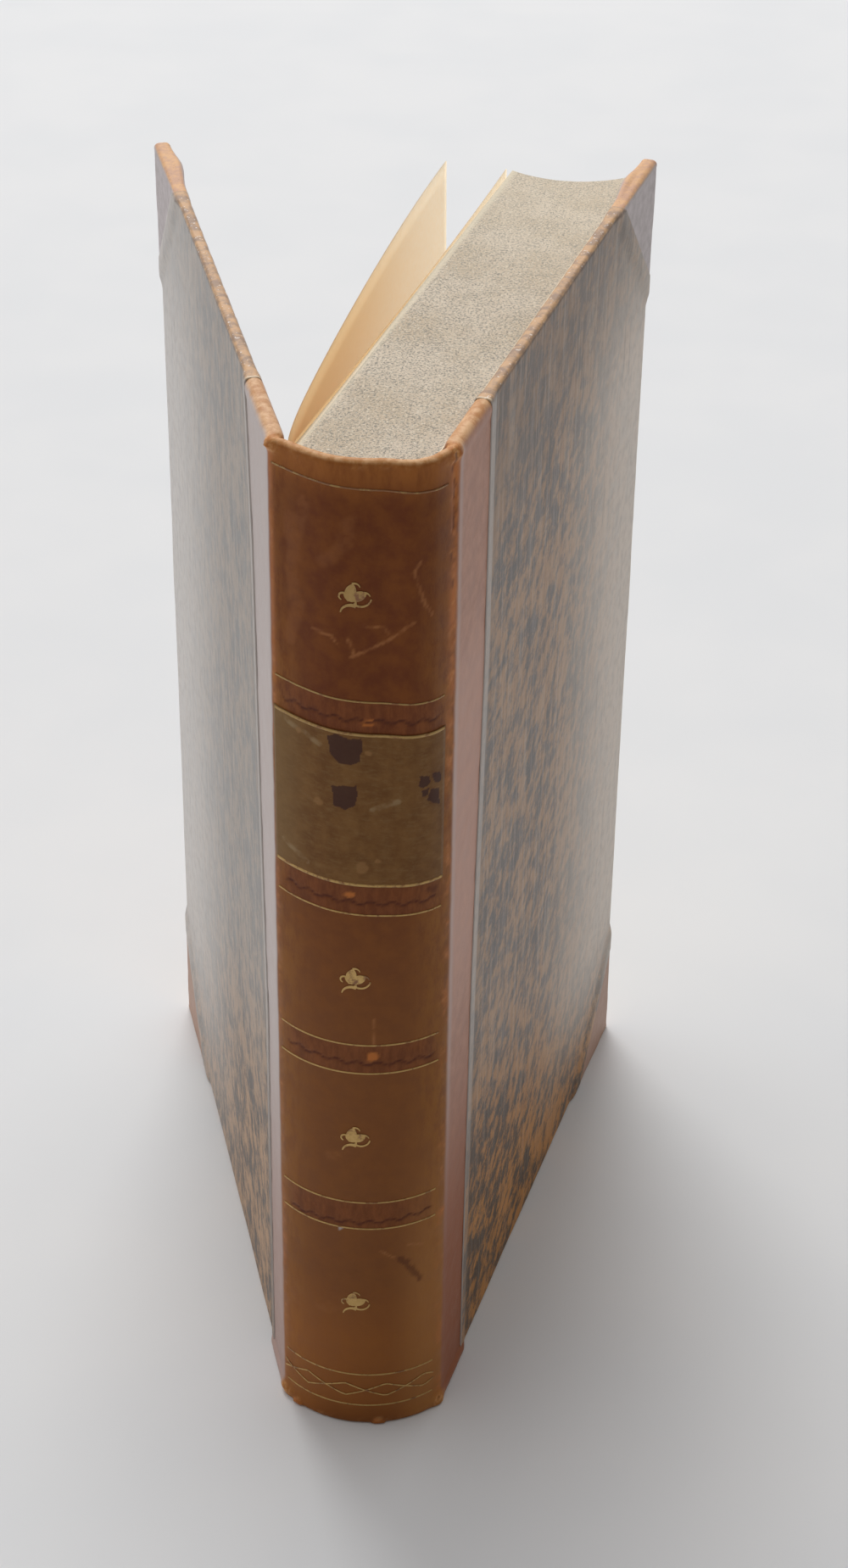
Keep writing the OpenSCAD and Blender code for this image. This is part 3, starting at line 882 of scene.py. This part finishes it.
def skin_material():
    """Worn calf: dark red-brown on the spine, grey-pink on the joints, partly faded leather and
    partly painted sheen.
    """
    paint = Paint("worn_calf")
    where = paint.rest()
    s = paint.axis(where, 0)
    z = paint.axis(where, 2)
    distance = paint.math("ABSOLUTE", s)
    broad = paint.noise(where, 16, 3)
    mottle = paint.noise(paint.rest((40, 0, 0)), 4.5, 5, 0.6)
    streak = paint.noise(paint.stretch(paint.rest((0, 0, 17)), (1, 1, 0.3)), 2.0, 5, 0.7)
    fine = paint.noise(paint.rest((0, 30, 0)), 0.7, 3, 0.6)
    # The two joints: grey-pink, partly painted sheen
    paint.colour = paint.blend(mottle, 0.3, 0.7, (0.42, 0.21, 0.145), (0.55, 0.31, 0.23))
    # Painted sheen: the joints lighter at middle heights
    middle = paint.times(paint.range(z, 95, 125), paint.range(z, 200, 178, 0.0, 0.5))
    paint.lay(middle, (0.66, 0.40, 0.32))
    # Painted sheen: the rear joint lighter and greyer
    paint.lay(paint.range(s, 5, -5, 0.0, 0.8), (0.60, 0.55, 0.53))
    # Painted highlight: a pale band on the leather just beside each hinge
    paint.lay(paint.range(distance, HINGE_S + 3.6, HINGE_S + 1.4, 0.0, 0.45), (0.56, 0.48, 0.46))
    # Painted shade: the joints darker and browner towards the tail, less so on the rear one
    tail = paint.times(paint.range(z, 108, 34), paint.range(s, -5, 5, 0.45, 0.85))
    paint.lay(tail, (0.29, 0.080, 0.022))
    joints = paint.colour
    # The spine
    paint.colour = paint.blend(mottle, 0.3, 0.72, (0.150, 0.034, 0.005), (0.215, 0.062, 0.010))
    paint.lay(paint.range(z, 190, 90, 0.0, 0.55), (0.27, 0.105, 0.028))
    sides = paint.times(paint.range(distance, 8, 18), paint.range(broad, 0.2, 0.55),
                        paint.range(streak, 0.36, 0.60, 0.25, 0.95),
                        paint.range(s, -10, 10, 0.85, 1.0), paint.range(z, 180, 205, 1.0, 0.5))
    paint.lay(sides, (0.32, 0.122, 0.022))
    band = paint.blend(streak, 0.35, 0.65, (0.145, 0.036, 0.010), (0.25, 0.075, 0.022))
    paint.lay(paint.value("band"), band)
    under_cap = paint.times(paint.range(z, 225.5, 233.5), paint.range(streak, 0.3, 0.6, 0.4, 0.8))
    paint.lay(under_cap, (0.40, 0.135, 0.024))
    paint.lay(paint.range(z, 45, 20, 0.0, 0.3), (0.47, 0.157, 0.024))
    warmer = paint.times(paint.range(z, 95, 30, 0.0, 0.55), paint.range(s, 5, 16))
    paint.lay(warmer, (0.46, 0.20, 0.060))
    # Painted shade: the middle of the spine darker at its foot, next to the floor
    foot_shade = paint.times(paint.range(z, 6, 1, 0.0, 0.4), paint.range(distance, 13, 4))
    paint.lay(foot_shade, (0.13, 0.035, 0.008))
    # Wear and marks on both, and the tan of the rolled ends with its painted highlight
    paint.lay(paint.range(distance, HINGE_S - 0.2, HINGE_S + 1.4), joints)
    # Tan on the rolled ends, placed by how far they face up or down: partly worn leather, partly
    # painted highlight, stronger towards the head
    tan = paint.blend(streak, 0.35, 0.65, (0.58, 0.26, 0.085), (0.84, 0.52, 0.27))
    paint.lay(paint.times(paint.value("roll"), paint.range(z, 120, 200, 0.25, 0.85)), tan)
    paint.lay(paint.value("joint"), (0.52, 0.165, 0.035))
    worn = paint.times(paint.value("worn"), paint.range(fine, 0.25, 0.5, 0.6, 1.0))
    paint.lay(worn, paint.blend(fine, 0.35, 0.65, (0.50, 0.19, 0.045), (0.72, 0.38, 0.15)))
    paint.lay(paint.value("pale"), (0.42, 0.165, 0.055))
    paint.lay(paint.value("dark"), (0.080, 0.016, 0.005))
    paint.lay(paint.value("white"), (0.55, 0.50, 0.48))
    grain = paint.bump(paint.noise(where, 0.45, 3, 0.6), 0.035)
    roughness = paint.range(mottle, 0.3, 0.7, 0.42, 0.55)
    return paint.finish(roughness, paint.bump(mottle, 0.08, grain), Specular_IOR_Level=0.16)


def corner_material():
    """Corner leather: faded pink-grey faces, orange-tan where the edges are rubbed."""
    paint = Paint("corner_calf")
    where = paint.rest((7, 0, 0))
    mottle = paint.noise(where, 2.6, 4, 0.65)
    fine = paint.noise(where, 0.6, 3, 0.6)
    rubbed = paint.blend(mottle, 0.4, 0.6, (0.76, 0.43, 0.20), (0.62, 0.34, 0.20))
    rubbed = paint.blend(fine, 0.62, 0.72, rubbed, (0.40, 0.18, 0.08))
    paint.colour = paint.blend(mottle, 0.3, 0.7, (0.46, 0.40, 0.39), (0.60, 0.53, 0.53))
    paint.lay(paint.range(paint.axis(where, 2), 60, 20, 0.0, 0.8), (0.44, 0.235, 0.14))
    paint.lay(paint.value("edge"), rubbed)
    relief = paint.bump(mottle, 0.12, paint.bump(fine, 0.06))
    return paint.finish(0.5, relief, Specular_IOR_Level=0.3)


# Dull and warm parts of the mottle, the same two near the tail, where painted shade darkens the dull
# one, and the colour that painted light turns them to towards the fore-edge
PAPER_SHADES = {
    "front": ((0.105, 0.095, 0.092), (0.45, 0.255, 0.130), (0.080, 0.053, 0.034),
              (0.57, 0.24, 0.045), (0.86, 0.76, 0.66)),
    "rear": ((0.27, 0.265, 0.26), (0.43, 0.36, 0.30), (0.13, 0.115, 0.105),
             (0.52, 0.33, 0.20), (0.80, 0.76, 0.72)),
}
# Angle of the mottle's drag from upright
PAPER_DRAG = {"front": -55, "rear": -14}
# Where the painted light towards the fore-edge begins and ends, and what is left of it at tail and
# head
PAPER_LIGHT_REACH = {"front": (62, 138), "rear": (46, 136)}
PAPER_LIGHT_LEFT = {"front": (0.1, 0.15), "rear": (0.45, 0.55)}
# Heights between which the tail's stronger, warmer mottle takes over, darkened in part as painted
# shade
PAPER_LOW = {"front": (110, 40), "rear": (135, 50)}


def paper_material(side):
    """Side paper with a mottle of grey-blue and pinkish tan, rubbed at its edges, with painted light
    towards the fore-edge, painted shade near the tail, beside the lap and on the front under the
    head, and a painted highlight on the lap.
    """
    dull, warm, tail_dull, tail_warm, lit_colour = PAPER_SHADES[side]
    tail_lit, head_lit = PAPER_LIGHT_LEFT[side]
    paint = Paint(side + "_mottled_paper")
    where = paint.rest()
    z = paint.axis(where, 2)
    x = paint.axis(where, 0)
    edge = paint.value("edge")
    past_seam = paint.value("seam")
    outer = paint.math("SUBTRACT", 1.0, edge)
    turned = paint.turn(paint.rest((0, 50, 0)), "Y_AXIS", PAPER_DRAG[side])
    patches = paint.noise(paint.shift(turned, (90, 0, 0)), 15, 2)
    pattern = paint.noise(paint.stretch(turned, (1, 1, 0.6)), 2.9, 7, 0.74)
    pattern = paint.math("ADD", pattern, paint.range(patches, 0.3, 0.7, -0.05, 0.05))
    fibre = paint.noise(paint.stretch(paint.rest((5, 0, 0)), (1, 1, 0.05)), 1.5, 4, 0.75)
    specks = paint.noise(paint.rest((20, 0, 0)), 0.9, 4, 0.75)
    patch = paint.noise(paint.rest((0, 0, 70)), 2.6, 4, 0.6)
    grit = paint.noise(paint.rest((20, 40, 0)), 0.8, 3, 0.7)
    # Near the tail, and more so near the hinge, a stronger, warmer mottle, its dull shade darker as
    # painted shade
    low = paint.range(paint.math("ADD", z, paint.times(x, 0.5)), *PAPER_LOW[side])
    dull = paint.mix(low, dull, tail_dull)
    warm = paint.mix(low, warm, tail_warm)
    paint.colour = paint.blend(pattern, 0.42, 0.58, dull, warm)
    fleck = paint.mix(low, (0.50, 0.40, 0.30), (0.54, 0.31, 0.12))
    paint.lay(paint.range(specks, 0.52, 0.78, 0.0, 0.7), fleck)
    # Painted shade: the front paper darker under the head
    if side == "front":
        paint.lay(paint.range(z, 188, 222, 0.0, 0.45), (0.13, 0.08, 0.045))
    # Painted light: the paper lighter towards the fore-edge, less so at tail and head
    far = paint.times(paint.range(x, *PAPER_LIGHT_REACH[side]), paint.range(z, 5, 45, tail_lit, 0.9),
                      paint.range(z, 235, 185, head_lit, 1.0))
    paint.lay(far, lit_colour)
    pale = paint.times(paint.range(fibre, 0.42, 0.68, 0.0, 0.3), paint.range(low, 0, 1, 1.0, 0.4))
    paint.lay(pale, (0.72, 0.62, 0.52))
    paint.lay(paint.range(fibre, 0.46, 0.28, 0.0, 0.35), (0.17, 0.135, 0.11))
    # Painted shade: the paper darker just beyond the lap, where it falls from it
    paint.lay(paint.range(past_seam, 10, 3.5, 0.0, 0.35), (0.15, 0.105, 0.075))
    # Painted highlight: the raised lap over the leather paler, less so towards the tail
    lap = paint.times(outer, paint.range(past_seam, 5.6, 1.0, 0.0, 0.6),
                      paint.range(z, 30, 110, 0.35, 1.0))
    paint.lay(lap, (0.66, 0.61, 0.57))
    paint.lay(edge, paint.blend(patch, 0.36, 0.62, (0.33, 0.20, 0.12), (0.62, 0.36, 0.17)))
    paint.lay(paint.times(edge, paint.range(grit, 0.63, 0.67)), (0.85, 0.78, 0.70))
    arris = paint.times(paint.value("arris"), paint.range(patch, 0.3, 0.6, 0.8, 0.3))
    paint.lay(arris, (0.14, 0.075, 0.045))
    paint.lay(paint.times(outer, paint.range(past_seam, 0.3, 0.05)), (0.55, 0.50, 0.46))
    paint.lay(paint.times(edge, paint.range(past_seam, 0.9, 0.5, 0.0, 0.6)), (0.82, 0.68, 0.48))
    grain = paint.bump(paint.noise(where, 0.5, 3, 0.65), 0.04)
    roughness = paint.range(low, 0, 1, 0.45, 0.62)
    return paint.finish(roughness, paint.bump(pattern, 0.04, grain), Specular_IOR_Level=0.35)


def page_material():
    """Edges of the leaves: beige with a fine grey sprinkle, and the lines of the leaves."""
    paint = Paint("sprinkled_edges")
    where = paint.place()
    turned = paint.turn(where, "Z_AXIS", LEAN)
    leaves = paint.noise(paint.stretch(turned, (1, 0.02, 0.02)), 0.22, 2, 0.5)
    cloud = paint.noise(where, 12, 3)
    density = paint.noise(paint.place((0, 60, 0)), 3.0, 3, 0.7)
    density = paint.range(density, 0.3, 0.7, -0.02, 0.02)
    speck = paint.math("ADD", paint.noise(where, 0.5, 4, 0.83), density)
    pale = paint.noise(paint.place((30, 0, 0)), 0.5, 3, 0.75)
    paint.colour = paint.blend(cloud, 0.3, 0.7, (0.58, 0.46, 0.32), (0.68, 0.565, 0.43))
    paint.lay(paint.range(pale, 0.52, 0.66), (0.80, 0.71, 0.57))
    paint.lay(paint.range(speck, 0.49, 0.59), (0.25, 0.226, 0.182))
    paint.lay(paint.range(paint.axis(turned, 1), 60, 140, 0.0, 0.22), (0.90, 0.79, 0.60))
    paint.lay(paint.range(leaves, 0.56, 0.75, 0.0, 0.2), (0.38, 0.28, 0.18))
    across = paint.axis(turned, 0)
    first_leaves = paint.range(across, 1.8 - BLOCK_SIDE, 0.5 - BLOCK_SIDE, 0.0, 0.75)
    paint.lay(first_leaves, (0.80, 0.70, 0.52))
    return paint.finish(0.75, paint.bump(speck, 0.08))


def endpaper_material():
    """Cream endpaper, deeper towards the gutter, with painted shade in a band under the head near the
    gutter, and a little foxing.
    """
    paint = Paint("endpaper")
    where = paint.rest()
    t = paint.axis(where, 0)
    z = paint.axis(where, 2)
    fibre = paint.noise(where, 1.4, 4, 0.65)
    fox = paint.noise(where, 6, 3, 0.7)
    paint.colour = paint.blend(t, 20, 138, (0.99, 0.87, 0.68), (0.99, 0.92, 0.80))
    paint.lay(paint.range(fibre, 0.3, 0.7, 0.0, 0.25), (0.94, 0.78, 0.56))
    paint.lay(paint.range(fox, 0.64, 0.76, 0.0, 0.3), (0.62, 0.40, 0.20))
    # Painted shade: a deeper band under the head, near the gutter
    head_band_shade = paint.times(paint.range(z, 214, 231, 0.0, 0.5), paint.range(t, 130, 30))
    paint.lay(head_band_shade, (0.94, 0.74, 0.48))
    return paint.finish(0.7, paint.bump(fibre, 0.03), through=0.95)


def pastedown_material():
    """The same endpaper where it lies flat."""
    paint = Paint("pastedown_paper")
    where = paint.place()
    fibre = paint.noise(where, 1.6, 4, 0.65)
    cloud = paint.noise(where, 24, 3, 0.6)
    paint.colour = paint.blend(cloud, 0.3, 0.7, (0.88, 0.72, 0.50), (0.93, 0.80, 0.60))
    paint.lay(paint.range(fibre, 0.55, 0.75, 0.0, 0.4), (0.70, 0.50, 0.28))
    return paint.finish(0.7, paint.bump(fibre, 0.04))


def gilt_material():
    """Rubbed gold, duller towards the head, with the leather showing where it has gone."""
    paint = Paint("rubbed_gold")
    where = paint.place()
    z = paint.axis(where, 2)
    wear = paint.noise(where, 2.2, 4, 0.7)
    left = paint.math("SUBTRACT", wear, paint.range(z, 226, 228, 0.0, 0.13))
    kept = paint.range(left, 0.36, 0.50)
    tone = paint.mix(paint.noise(where, 0.8, 2), (0.46, 0.27, 0.07), (0.70, 0.46, 0.18))
    tone = paint.mix(paint.range(z, 130, 195, 0.0, 0.5), tone, (0.27, 0.16, 0.055))
    paint.colour = paint.mix(kept, (0.27, 0.11, 0.035), tone)
    return paint.finish(0.45, paint.bump(wear, 0.04), Metallic=paint.times(kept, 0.5))


def label_material():
    """Olive-brown label leather with water stains and small spots."""
    paint = Paint("label_calf")
    where = paint.rest()
    mottle = paint.noise(where, 4, 4, 0.65)
    fine = paint.noise(where, 0.6, 3, 0.6)
    weave = paint.noise(paint.stretch(paint.rest((9, 0, 0)), (0.35, 1, 1)), 0.9, 4, 0.7)
    paint.colour = paint.blend(mottle, 0.3, 0.7, (0.155, 0.060, 0.010), (0.22, 0.100, 0.024))
    paint.lay(paint.range(weave, 0.45, 0.7, 0.0, 0.35), (0.27, 0.16, 0.06))
    paint.lay(paint.range(paint.axis(where, 0), -8, -18, 0.0, 0.6), (0.25, 0.145, 0.050))
    paint.lay(paint.value("pale"), (0.38, 0.27, 0.14))
    paint.lay(paint.value("worn"), (0.33, 0.165, 0.055))
    paint.lay(paint.value("dark"), (0.050, 0.014, 0.010))
    relief = paint.bump(mottle, 0.06, paint.bump(fine, 0.04))
    return paint.finish(0.5, relief, Specular_IOR_Level=0.2)


def plain_material(name, dark, light, size, roughness):
    """A simple mottled material for what is mostly hidden."""
    paint = Paint(name)
    mottle = paint.noise(paint.place(), size, 4, 0.65)
    paint.colour = paint.blend(mottle, 0.3, 0.7, dark, light)
    return paint.finish(roughness, paint.bump(mottle, 0.1))


def give_material(material, *nodes):
    """Replaces the plain material of CAD nodes."""
    for node in nodes:
        part = frame["nodes"][node]
        part.data.materials.clear()
        part.data.materials.append(material)


# Title label, between its two gilt rules

LABEL_T = 0.2
# Gap below the label, and how far its rim reaches down past its thickness
LABEL_GAP = 0.02
RIM_REACH = 0.1
LABEL_Z = (143.9, 178.7)
LABEL_S = (-18.95, 17.35)
LABEL_STAINS = (
    ((-5.9, 177.2), (-4.5, 178.0), (-2.1, 177.4), (0.6, 177.6), (0.6, 175.2), (0.3, 172.7),
     (-1.5, 171.6), (-3.7, 171.6), (-5.3, 173.2)),
    ((-5.1, 166.3), (-0.2, 167.0), (-0.5, 162.5), (-2.6, 161.3), (-4.8, 161.9)),
    ((11.8, 169.4), (13.6, 169.0), (14.1, 167.6), (12.6, 166.4), (11.5, 167.2)),
    ((14.3, 169.6), (16.2, 169.0), (16.3, 166.6), (14.9, 167.2)),
    ((12.2, 165.8), (13.8, 166.4), (13.6, 164.9), (12.5, 164.4)),
    ((14.2, 166.0), (16.0, 165.4), (16.2, 161.6), (14.6, 162.6), (13.4, 163.6)),
)
LABEL_SPOTS = (
    ((-12.2, 175.9), (0.7, 0.8)),
    ((1.9, 174.6), (1.0, 0.7)),
    ((-7.9, 161.8), (1.2, 1.1)),
    ((3.8, 150.2), (0.8, 0.6)),
    ((0.6, 148.4), (1.3, 1.7)),
)
LABEL_SCRATCHES = (
    ((-16.5, 177.6), (-13.8, 176.6), (-10.8, 176.1), (-7.6, 174.8)),
    ((-16.2, 149.4), (-13.0, 148.2), (-10.5, 146.9)),
    ((2.6, 161.9), (7.5, 164.0)),
)


def in_outline(x, y, outline):
    """1 inside a closed outline of points, 0 outside it."""
    inside = np.zeros(np.shape(x), bool)
    for (x0, y0), (x1, y1) in zip(outline, outline[1:] + outline[:1]):
        crosses = (y0 > y) != (y1 > y)
        inside ^= crosses & (x < (x1 - x0) * (y - y0) / (y1 - y0 + 1e-12) + x0)
    return inside.astype(float)


def on_spine(s, radius, height):
    """Points at distance s round the spine, at this radius and height."""
    turn = s / SPINE_R
    y = ARC_Y - radius * np.cos(turn) - out_of_round(s, height)
    return np.stack([radius * np.sin(turn), y, height], axis=-1)


def title_label(material):
    """The label's leather, with a thin rim; nothing is lettered on it."""
    s, z = np.meshgrid(np.linspace(*LABEL_S, 170), np.linspace(*LABEL_Z, 160))
    place = np.stack([s, 0 * s, z], axis=-1)
    rough = noise(place, 1.4, seed=51, octaves=3)
    swell = 0.02 * (1 + noise(place, 9, seed=52))
    ends = np.minimum(s - LABEL_S[0], LABEL_S[1] - s)
    rise = SPINE_R + LABEL_T + LABEL_GAP - swell - LABEL_T * (1 - smooth(ends, 0, 0.7))
    rim = LABEL_T + RIM_REACH
    rise = np.concatenate([rise[:1] - rim, rise, rise[-1:] - rim])
    wear = dict.fromkeys(("worn", "pale", "dark"), 0.0)
    for spot in LABEL_SPOTS:
        mark(wear, "worn", 0.6 * near_spot(s + 0.5 * rough, z + 0.3 * rough, *spot))
    for line in LABEL_SCRATCHES:
        scratch = near_line(s, z + 0.3 * rough, line, 1.6)
        mark(wear, "pale", 0.5 * scratch * smooth(rough, -0.6, 0.5))
    for outline in LABEL_STAINS:
        mark(wear, "dark", 0.85 * in_outline(s + 0.35 * rough, z - 0.3 * rough, outline))
    rows = np.concatenate([[0], np.arange(len(z)), [len(z) - 1]])
    values = {"rest": place[rows].reshape(-1, 3)}
    values.update((key, value[rows].ravel()) for key, value in wear.items())
    s, z = s[rows], z[rows]
    points = on_spine(s, rise, z + askew(z) * s)
    faces = grid_faces(*points.shape[:2])
    piece = make_object("title_label_skin", points.reshape(-1, 3), faces, values)
    dress(piece, material, "label_leather", "title_label")
    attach(piece, "text_block")


# Gilt rules: heights at the middle of the spine; the two on the label are wider
RULE_HEIGHTS = (5.2, 14.3, 56.3, 63.5, 97.8, 105.0, 137.1, 144.3, 178.4, 185.5, 229.5)
RULE_W = 0.35
LABEL_RULE_W = 0.6
RULE_S = (-18.3, 17.0)
GILT_T = 0.1
RULE_SINK = 0.06


def gilt_rules(material):
    """The rules that are tooled round the spine, each a thin strip closed on all sides."""
    s = np.linspace(*RULE_S, 100)
    ring = np.array([(-1, 0), (-1, 1), (1, 1), (1, 0)])
    points, faces = [], []
    for middle in RULE_HEIGHTS:
        on_label = LABEL_Z[0] < middle < LABEL_Z[1]
        width, base = (LABEL_RULE_W, LABEL_T) if on_label else (RULE_W, 0.0)
        rise = SPINE_R + base - RULE_SINK + GILT_T * ring[:, 1:] + 0 * s
        height = middle + askew(middle) * s + width / 2 * ring[:, :1]
        index = np.arange(4 * len(s)).reshape(4, len(s)) + 4 * len(s) * len(points)
        after = np.roll(index, -1, axis=0)
        sides = np.stack([index[:, :-1], index[:, 1:], after[:, 1:], after[:, :-1]], axis=-1)
        faces += sides.reshape(-1, 4).tolist()
        faces += [index[::-1, 0].tolist(), index[:, -1].tolist()]
        points.append(on_spine(s + 0 * rise, rise, height).reshape(-1, 3))
    piece = make_object("gilt_rule_strips", np.concatenate(points), faces)
    dress(piece, material, "gilt", "gilt_rules")
    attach(piece, "text_block")


# Floor, light and camera

FLOOR_HALF = 6000


def floor():
    paint = Paint("studio_floor")
    tone = paint.noise(paint.place(), 60, 2)
    paint.colour = paint.blend(tone, 0.3, 0.7, (0.775, 0.78, 0.785), (0.80, 0.80, 0.80))
    corners = ((-1, -1), (1, -1), (1, 1), (-1, 1))
    points = [(x * FLOOR_HALF, y * FLOOR_HALF, 0) for x, y in corners]
    obj = make_object("floor", points, [(0, 1, 2, 3)])
    obj.data.materials.append(paint.finish(0.9))


# The way to the brightest part of the room
SOFT_SIDE = (-0.46, 0.78, 0.42)


def world():
    """A soft room, brighter behind the book than in front of it. What the camera, glossy and
    transmission rays see of it is a little brighter."""
    scene = bpy.context.scene
    scene.world = bpy.data.worlds.new("studio")
    scene.world.use_nodes = True
    room = Nodes(scene.world.node_tree)
    way = room.node("ShaderNodeTexCoord", out="Generated")
    facing = room.node("ShaderNodeVectorMath", (way, SOFT_SIDE), "Value", operation="DOT_PRODUCT")

    def glow(low, high):
        level = room.range(facing, -0.6, 0.95, low, high)
        tint = room.mix(level, (1.0, 0.955, 0.90), (0.97, 0.99, 1.03))
        return room.node("ShaderNodeBackground", (tint, level))

    seen = 0.0
    for ray in ("Is Camera Ray", "Is Glossy Ray", "Is Transmission Ray"):
        seen = room.math("MAXIMUM", room.node("ShaderNodeLightPath", out=ray), seen)
    light = room.node("ShaderNodeMixShader", (seen, glow(0.12, 0.87), glow(0.20, 0.95)))
    room.node("ShaderNodeOutputWorld", (light,))


def put(name, data, place, side, over, back):
    """Places a lamp or a camera, with its own three axes pointing these ways."""
    obj = bpy.data.objects.new(name, data)
    bpy.context.scene.collection.objects.link(obj)
    obj.location = place
    obj.rotation_euler = Matrix([side, over, back]).transposed().to_euler()
    return obj


def area_light(name, place, aim, size, power):
    lamp = bpy.data.lights.new(name, "AREA")
    lamp.shape = "DISK"
    lamp.size = size
    lamp.energy = power
    look = np.array(aim) - np.array(place)
    look = look / np.linalg.norm(look)
    side = np.cross(look, (0, 0, 1))
    side /= np.linalg.norm(side)
    put(name, lamp, place, side, np.cross(side, look), -look)


CAMERA_PLACE = (0.04797, -0.45779, 0.47297)
CAMERA_YAW = 4.47
CAMERA_PITCH = 33.627
CAMERA_ROLL = -0.838
LENS = 67.683


def camera():
    data = bpy.data.cameras.new("camera")
    data.sensor_fit = "AUTO"
    data.sensor_width = 36
    data.lens = LENS
    data.clip_start = 0.01
    data.clip_end = 50
    yaw, pitch, roll = (math.radians(v) for v in (CAMERA_YAW, CAMERA_PITCH, CAMERA_ROLL))
    right = np.array([math.cos(yaw), math.sin(yaw), 0])
    ahead = np.array([-math.sin(yaw) * math.cos(pitch), math.cos(yaw) * math.cos(pitch),
                      -math.sin(pitch)])
    down = np.cross(ahead, right)
    c, s = math.cos(roll), math.sin(roll)
    side, over = c * right + s * down, s * right - c * down
    bpy.context.scene.camera = put("camera", data, CAMERA_PLACE, side, over, -ahead)


# The book

place_skin(skin(), skin_material())
calf = corner_material()
for side in SIDES:
    side_paper(side, paper_material(side))
    for head in (True, False):
        corner(side, head, calf)
endpaper = endpaper_material()
leaf("rear_flyleaf_sheet", flyleaf_lift, "rear_flyleaf", endpaper, *FLYLEAF_BEND)
leaf("rear_endleaf_sheet", endleaf_lift, "rear_endleaf", endpaper, *ENDLEAF_BEND)
title_label(label_material())
gilt = gilt_material()
gilt_rules(gilt)
give_material(gilt, "gilt_flowers", "gilt_zigzag")
page_block(page_material())
give_material(pastedown_material(), "front_flyleaf", "front_pastedown", "rear_pastedown")
millboard = plain_material("millboard", (0.13, 0.10, 0.07), (0.24, 0.19, 0.14), 5, 0.85)
give_material(millboard, "front_board", "rear_board")
card = plain_material("inner_card", (0.22, 0.17, 0.11), (0.34, 0.27, 0.18), 4, 0.85)
give_material(card, "spine_lining", "spine_inlay")
hemp = plain_material("cord", (0.42, 0.32, 0.19), (0.58, 0.46, 0.30), 1, 0.9)
give_material(hemp, *("sewing_cord_%d" % number for number in (1, 2, 3, 4)))

# The room

floor()
world()
area_light("window", (-0.95, 3.6, 4.2), (0, 0.05, 0.1), 3.3, 161)
camera()

bpy.context.scene.view_settings.view_transform = "Standard"
